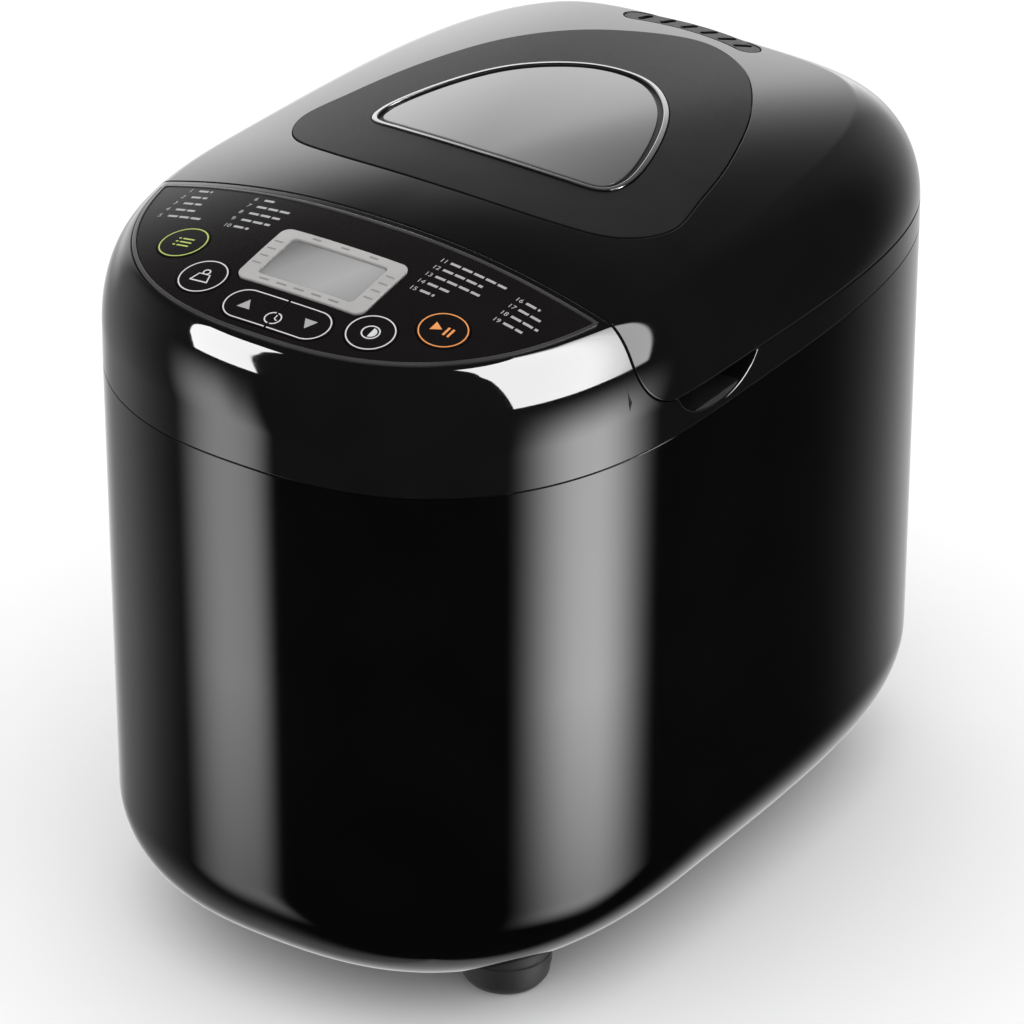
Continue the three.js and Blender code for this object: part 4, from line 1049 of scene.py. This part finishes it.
radius = HINGE.relief + 0.2
low_turn = math.asin((HINGE.z - DECK.top) / radius)
turns = np.linspace(math.pi + low_turn, 2 * math.pi - low_turn, 33)
x, turn = np.meshgrid(np.linspace(-HINGE.half_x, HINGE.half_x, 41), turns)
inward = np.stack([np.zeros_like(x), -np.cos(turn), -np.sin(turn)], -1)
trough = np.stack([x, HINGE.y + radius * np.cos(turn), HINGE.z + radius * np.sin(turn)], -1)
trough = facing(grid(trough, normals=inward), np.array([0, HINGE.y, HINGE.z + 40]))
trough.clip(inside_loop(WALL_LOOP), 0.5)
make_black("hinge_trough", trough.solid(0.1, 1.3))
for side, word in SIDES:
    reach, turn = np.meshgrid(np.linspace(0.3, radius + 0.8, 9), turns)
    cheek = np.stack([
        np.full_like(reach, side * HINGE.half_x),
        HINGE.y + reach * np.cos(turn), HINGE.z + reach * np.sin(turn)], -1)
    cheek = facing(grid(cheek, normals=facing_all(reach, (-side, 0, 0))), np.array([0, HINGE.y, HINGE.z - 8]))
    cheek.clip(lambda p: DECK.top - p[:, 2]).clip(inside_loop(WALL_LOOP), 0.5)
    make_black("hinge_trough_cheek_" + word, cheek.solid(0.1, 1.2))


# ---- pieces that keep the frame's solids
FOLD = math.radians(35)


def refined(name, body, material, width):
    """Piece in place of a frame solid: the same solid with rounded edges and smooth curved faces."""
    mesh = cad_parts[name].data.copy()
    work = bmesh.new()
    work.from_mesh(mesh)
    bmesh.ops.remove_doubles(work, verts=work.verts, dist=1e-6)
    bmesh.ops.dissolve_limit(work, angle_limit=math.radians(0.2), verts=work.verts, edges=work.edges)
    sharp = [
        edge for edge in work.edges
        if len(edge.link_faces) == 2 and edge.calc_face_angle(0) > FOLD]
    bmesh.ops.bevel(
        work, geom=sharp, offset=width * MM, segments=2, profile=0.5, affect="EDGES", clamp_overlap=True)
    work.to_mesh(mesh)
    work.free()
    mesh.polygons.foreach_set("use_smooth", [True] * len(mesh.polygons))
    mesh.set_sharp_from_angle(angle=FOLD)
    piece = place(bpy.data.objects.new(name + "_piece", mesh), material, body, [name])
    piece.modifiers.new("weighted", "WEIGHTED_NORMAL").keep_sharp = True


# Body, material, export slot, width of the rounded edges, and the nodes.
FRAME_PIECES = [
    ("housing", BLACK, "matte_black", 0.5, "base_plate rear_grille"),
    ("housing", RUBBER, "black_rubber", 0.5, "cord_gland"),
    ("housing", BOARD, "board_green", 0.15, "control_board power_board"),
    ("housing", STEEL, "sheet_steel", 0.3, "chamber_liner temperature_sensor pan_spring_left"),
    ("housing", STEEL, "sheet_steel", 0.3, "pan_spring_right chassis motor"),
    ("housing", STEEL, "sheet_steel", 0.3, "hinge_bracket_left hinge_bracket_right hinge_pin"),
    ("housing", ELEMENT, "element_sheath", 0.2, "heating_element"),
    ("housing", CERAMIC, "ceramic", 0.3, "element_bush_left element_bush_right"),
    ("housing", ALUMINIUM, "cast_aluminium", 0.4, "pan_seat"),
    ("housing", BRONZE, "bearing_bronze", 0.3, "shaft_bearing"),
    ("housing", RUBBER, "black_rubber", 0.3, "drive_belt"),
    ("housing", GREY, "grey_trim", 0.4, "run_capacitor"),
    ("lid", BLACK, "matte_black", 0.4, "lid_inner_cover"),
    ("lid", ALUMINIUM, "cast_aluminium", 0.4, "lid_liner"),
    ("lid", CLEAR, "window_glass", 0.2, "inner_pane"),
    ("lid", STEEL, "sheet_steel", 0.3, "hinge_arm_left hinge_arm_right"),
    ("pan", NON_STICK, "non_stick", 0.6, "bread_pan"),
    ("pan", ALUMINIUM, "cast_aluminium", 0.4, "pan_foot"),
    ("pan", BRONZE, "bearing_bronze", 0.3, "pan_bush"),
    ("pan_handle", STEEL, "sheet_steel", 0.3, "pan_handle"),
    ("pan_spindle", STEEL, "sheet_steel", 0.3, "pan_shaft"),
    ("pan_spindle", NON_STICK, "non_stick", 0.6, "kneading_paddle"),
    ("drive", STEEL, "sheet_steel", 0.3, "drive_shaft"),
    ("drive", ALUMINIUM, "cast_aluminium", 0.4, "drive_coupler"),
    ("drive", NYLON, "pulley_plastic", 0.3, "drive_pulley"),
    ("motor_rotor", STEEL, "sheet_steel", 0.2, "motor_shaft"),
    ("motor_rotor", NYLON, "pulley_plastic", 0.3, "motor_pulley"),
]
for body_name, material, slot, width, names in FRAME_PIECES:
    for name in names.split():
        refined(name, body_name, material, width)


# ---- floor, world and lights
def make_floor(size=12.0):
    mesh = bpy.data.meshes.new("floor")
    corners = [(-size, -size, 0), (size, -size, 0), (size, size, 0), (-size, size, 0)]
    mesh.from_pydata(corners, [], [(0, 1, 2, 3)])
    floor = bpy.data.objects.new("floor", mesh)
    scene.collection.objects.link(floor)
    material, tree, bsdf = shader("floor_paint", Roughness=0.9, Specular_IOR_Level=0.0)
    tint = ramp(tree, noise(tree, 3), [(0, 0.93), (1, 0.95)])
    tree.links.new(tint, bsdf.inputs["Base Color"])
    mesh.materials.append(material)
    floor.visible_glossy = False


make_floor()

# Softboxes that light the shoulder of the top housing only.
SOFTBOX_DISTANCE = 4.0
SOFTBOX_CENTRE = np.array([0.05, -0.1, 0.27])


def right_glow(azimuth):
    """Strength of the right softbox, weaker towards the lid, where a studio light adds to it."""
    return 13.6 * (1 - smoothstep(100, 128, azimuth)) + 7.2 * (1 - smoothstep(112, 116, azimuth))


def left_glow(azimuth):
    return np.full_like(azimuth, 20.8)


def softbox(name, az, lean, el, glow):
    """Glowing sheet far off that the top housing mirrors, and that lets other light through.

    It spans the azimuths az at the horizon and the elevations el, in degrees; lean moves its left and
    right sides with elevation, and glow gives its strength at an azimuth.
    """
    elevation, across = np.meshgrid(np.linspace(*el, 24), np.linspace(0, 1, 40), indexing="ij")
    left, right = az[0] + lean[0] * elevation, az[1] + lean[1] * elevation
    azimuth = left + (right - left) * across
    a, e = np.radians(azimuth), np.radians(elevation)
    direction = np.stack([np.sin(a) * np.cos(e), -np.cos(a) * np.cos(e), np.sin(e)], -1)
    sheet = grid(SOFTBOX_CENTRE + SOFTBOX_DISTANCE * direction)
    mesh = bpy.data.meshes.new(name)
    mesh.from_pydata(sheet.points.tolist(), [], sheet.faces)
    attribute = mesh.attributes.new("glow", "FLOAT", "POINT")
    attribute.data.foreach_set("value", glow(azimuth - lean[1] * elevation).ravel())
    box = bpy.data.objects.new(name, mesh)
    scene.collection.objects.link(box)
    material, tree, bsdf = shader(name)
    tree.nodes.remove(bsdf)
    strength = node(tree, "Attribute", attribute_name="glow").outputs["Fac"]
    emission = node(tree, "Emission", {"Strength": strength}).outputs[0]
    clear = node(tree, "BsdfTransparent").outputs[0]
    surface = node(tree, "AddShader", {0: emission, 1: clear}).outputs[0]
    tree.links.new(surface, tree.nodes["Material Output"].inputs["Surface"])
    mesh.materials.append(material)
    for ray in ("camera", "diffuse", "transmission", "shadow"):
        setattr(box, "visible_" + ray, False)
    lit = bpy.data.collections.new(name + "_lights")
    lit.objects.link(collar_piece)
    box.light_linking.receiver_collection = lit


softbox("softbox_right", (73, 125), (-0.15, 0.42), (0, 69), right_glow)
softbox("softbox_left", (-43.2, -29.2), (-0.42, -0.22), (4, 44), left_glow)


def ramp_between(tree, source, start, end):
    """0 up to start, 1 from end, smooth in between; start may be over end."""
    ends = (0, 1) if start < end else (1, 0)
    return spread(tree, source, *ends, *sorted((start, end)), interpolation_type="SMOOTHSTEP")


def math_node(tree, operation, *values):
    return node(tree, "Math", enumerate(values), operation=operation).outputs[0]


def direction_window(tree, azimuth, elevation, az, el, lean):
    """1 inside a patch of directions, fading to 0 at its sides; lean moves each side with elevation."""
    centre = (az[1] + az[2]) / 2
    offset = math_node(tree, "SUBTRACT", azimuth, centre)
    offset = math_node(tree, "WRAP", offset, 180.0, -180.0)
    left = math_node(tree, "MULTIPLY_ADD", elevation, -lean[0], offset)
    right = math_node(tree, "MULTIPLY_ADD", elevation, -lean[1], offset)
    value = ramp_between(tree, left, az[0] - centre, az[1] - centre)
    for source, start, end in (
            (right, az[3] - centre, az[2] - centre), (elevation, el[0], el[1]), (elevation, el[3], el[2])):
        value = math_node(tree, "MULTIPLY", value, ramp_between(tree, source, start, end))
    return value


# Studio as reflections see it: azimuth 0 is the front, positive to the right. Each light gives where
# it is dark, full, full and dark along azimuth and along elevation, how its left and right sides
# lean, in degrees a degree, and its strength.
UPRIGHT = (0.0, 0.0)
STUDIO_LIGHTS = [
    ((-210, -170, -150, -110), (-124, -80, 0, 44), UPRIGHT, 1.0),
    ((-165, -115, -95, -45), (-124, -80, 0, 44), UPRIGHT, 0.6),
    ((-176, -156, -120, -100), (-20, -5, 12, 38), UPRIGHT, 1.5),
    ((-58, -39, -38, -29.5), (-56, -34, -22, 4), UPRIGHT, 4.7),
    ((70, 104, 108, 133), (-54, -36, -30, -1), UPRIGHT, 9.4),
    ((112, 116, 124, 125.5), (-1, 1, 55, 60), (0.42, 0.42), 9.0),
]
DIM_STUDIO = 0.02
AMBIENT = 1.55


def make_world():
    """Even light for all but reflections, which see the studio lights."""
    studio = bpy.data.worlds.new("studio")
    scene.world = studio
    studio.use_nodes = True
    tree = studio.node_tree
    tree.nodes.clear()
    direction = node(tree, "TexCoord").outputs["Generated"]
    parts = node(tree, "SeparateXYZ", {0: direction}).outputs
    to_degrees = 180 / math.pi
    backward = math_node(tree, "MULTIPLY", parts["Y"], -1.0)
    turned_by = math_node(tree, "ARCTAN2", parts["X"], backward)
    azimuth = math_node(tree, "MULTIPLY", turned_by, to_degrees)
    elevation = math_node(tree, "MULTIPLY", math_node(tree, "ARCSINE", parts["Z"]), to_degrees)
    total = DIM_STUDIO
    for az, el, lean, strength in STUDIO_LIGHTS:
        light = direction_window(tree, azimuth, elevation, az, el, lean)
        total = math_node(tree, "MULTIPLY_ADD", light, strength, total)
    reflected = node(tree, "Background", {"Strength": total}).outputs[0]
    ambient = node(tree, "Background", {"Strength": AMBIENT}).outputs[0]
    glossy = node(tree, "LightPath").outputs["Is Glossy Ray"]
    mix = node(tree, "MixShader", {"Fac": glossy, 1: ambient, 2: reflected}).outputs[0]
    node(tree, "OutputWorld", {"Surface": mix})


make_world()

scene.view_settings.view_transform = "Standard"
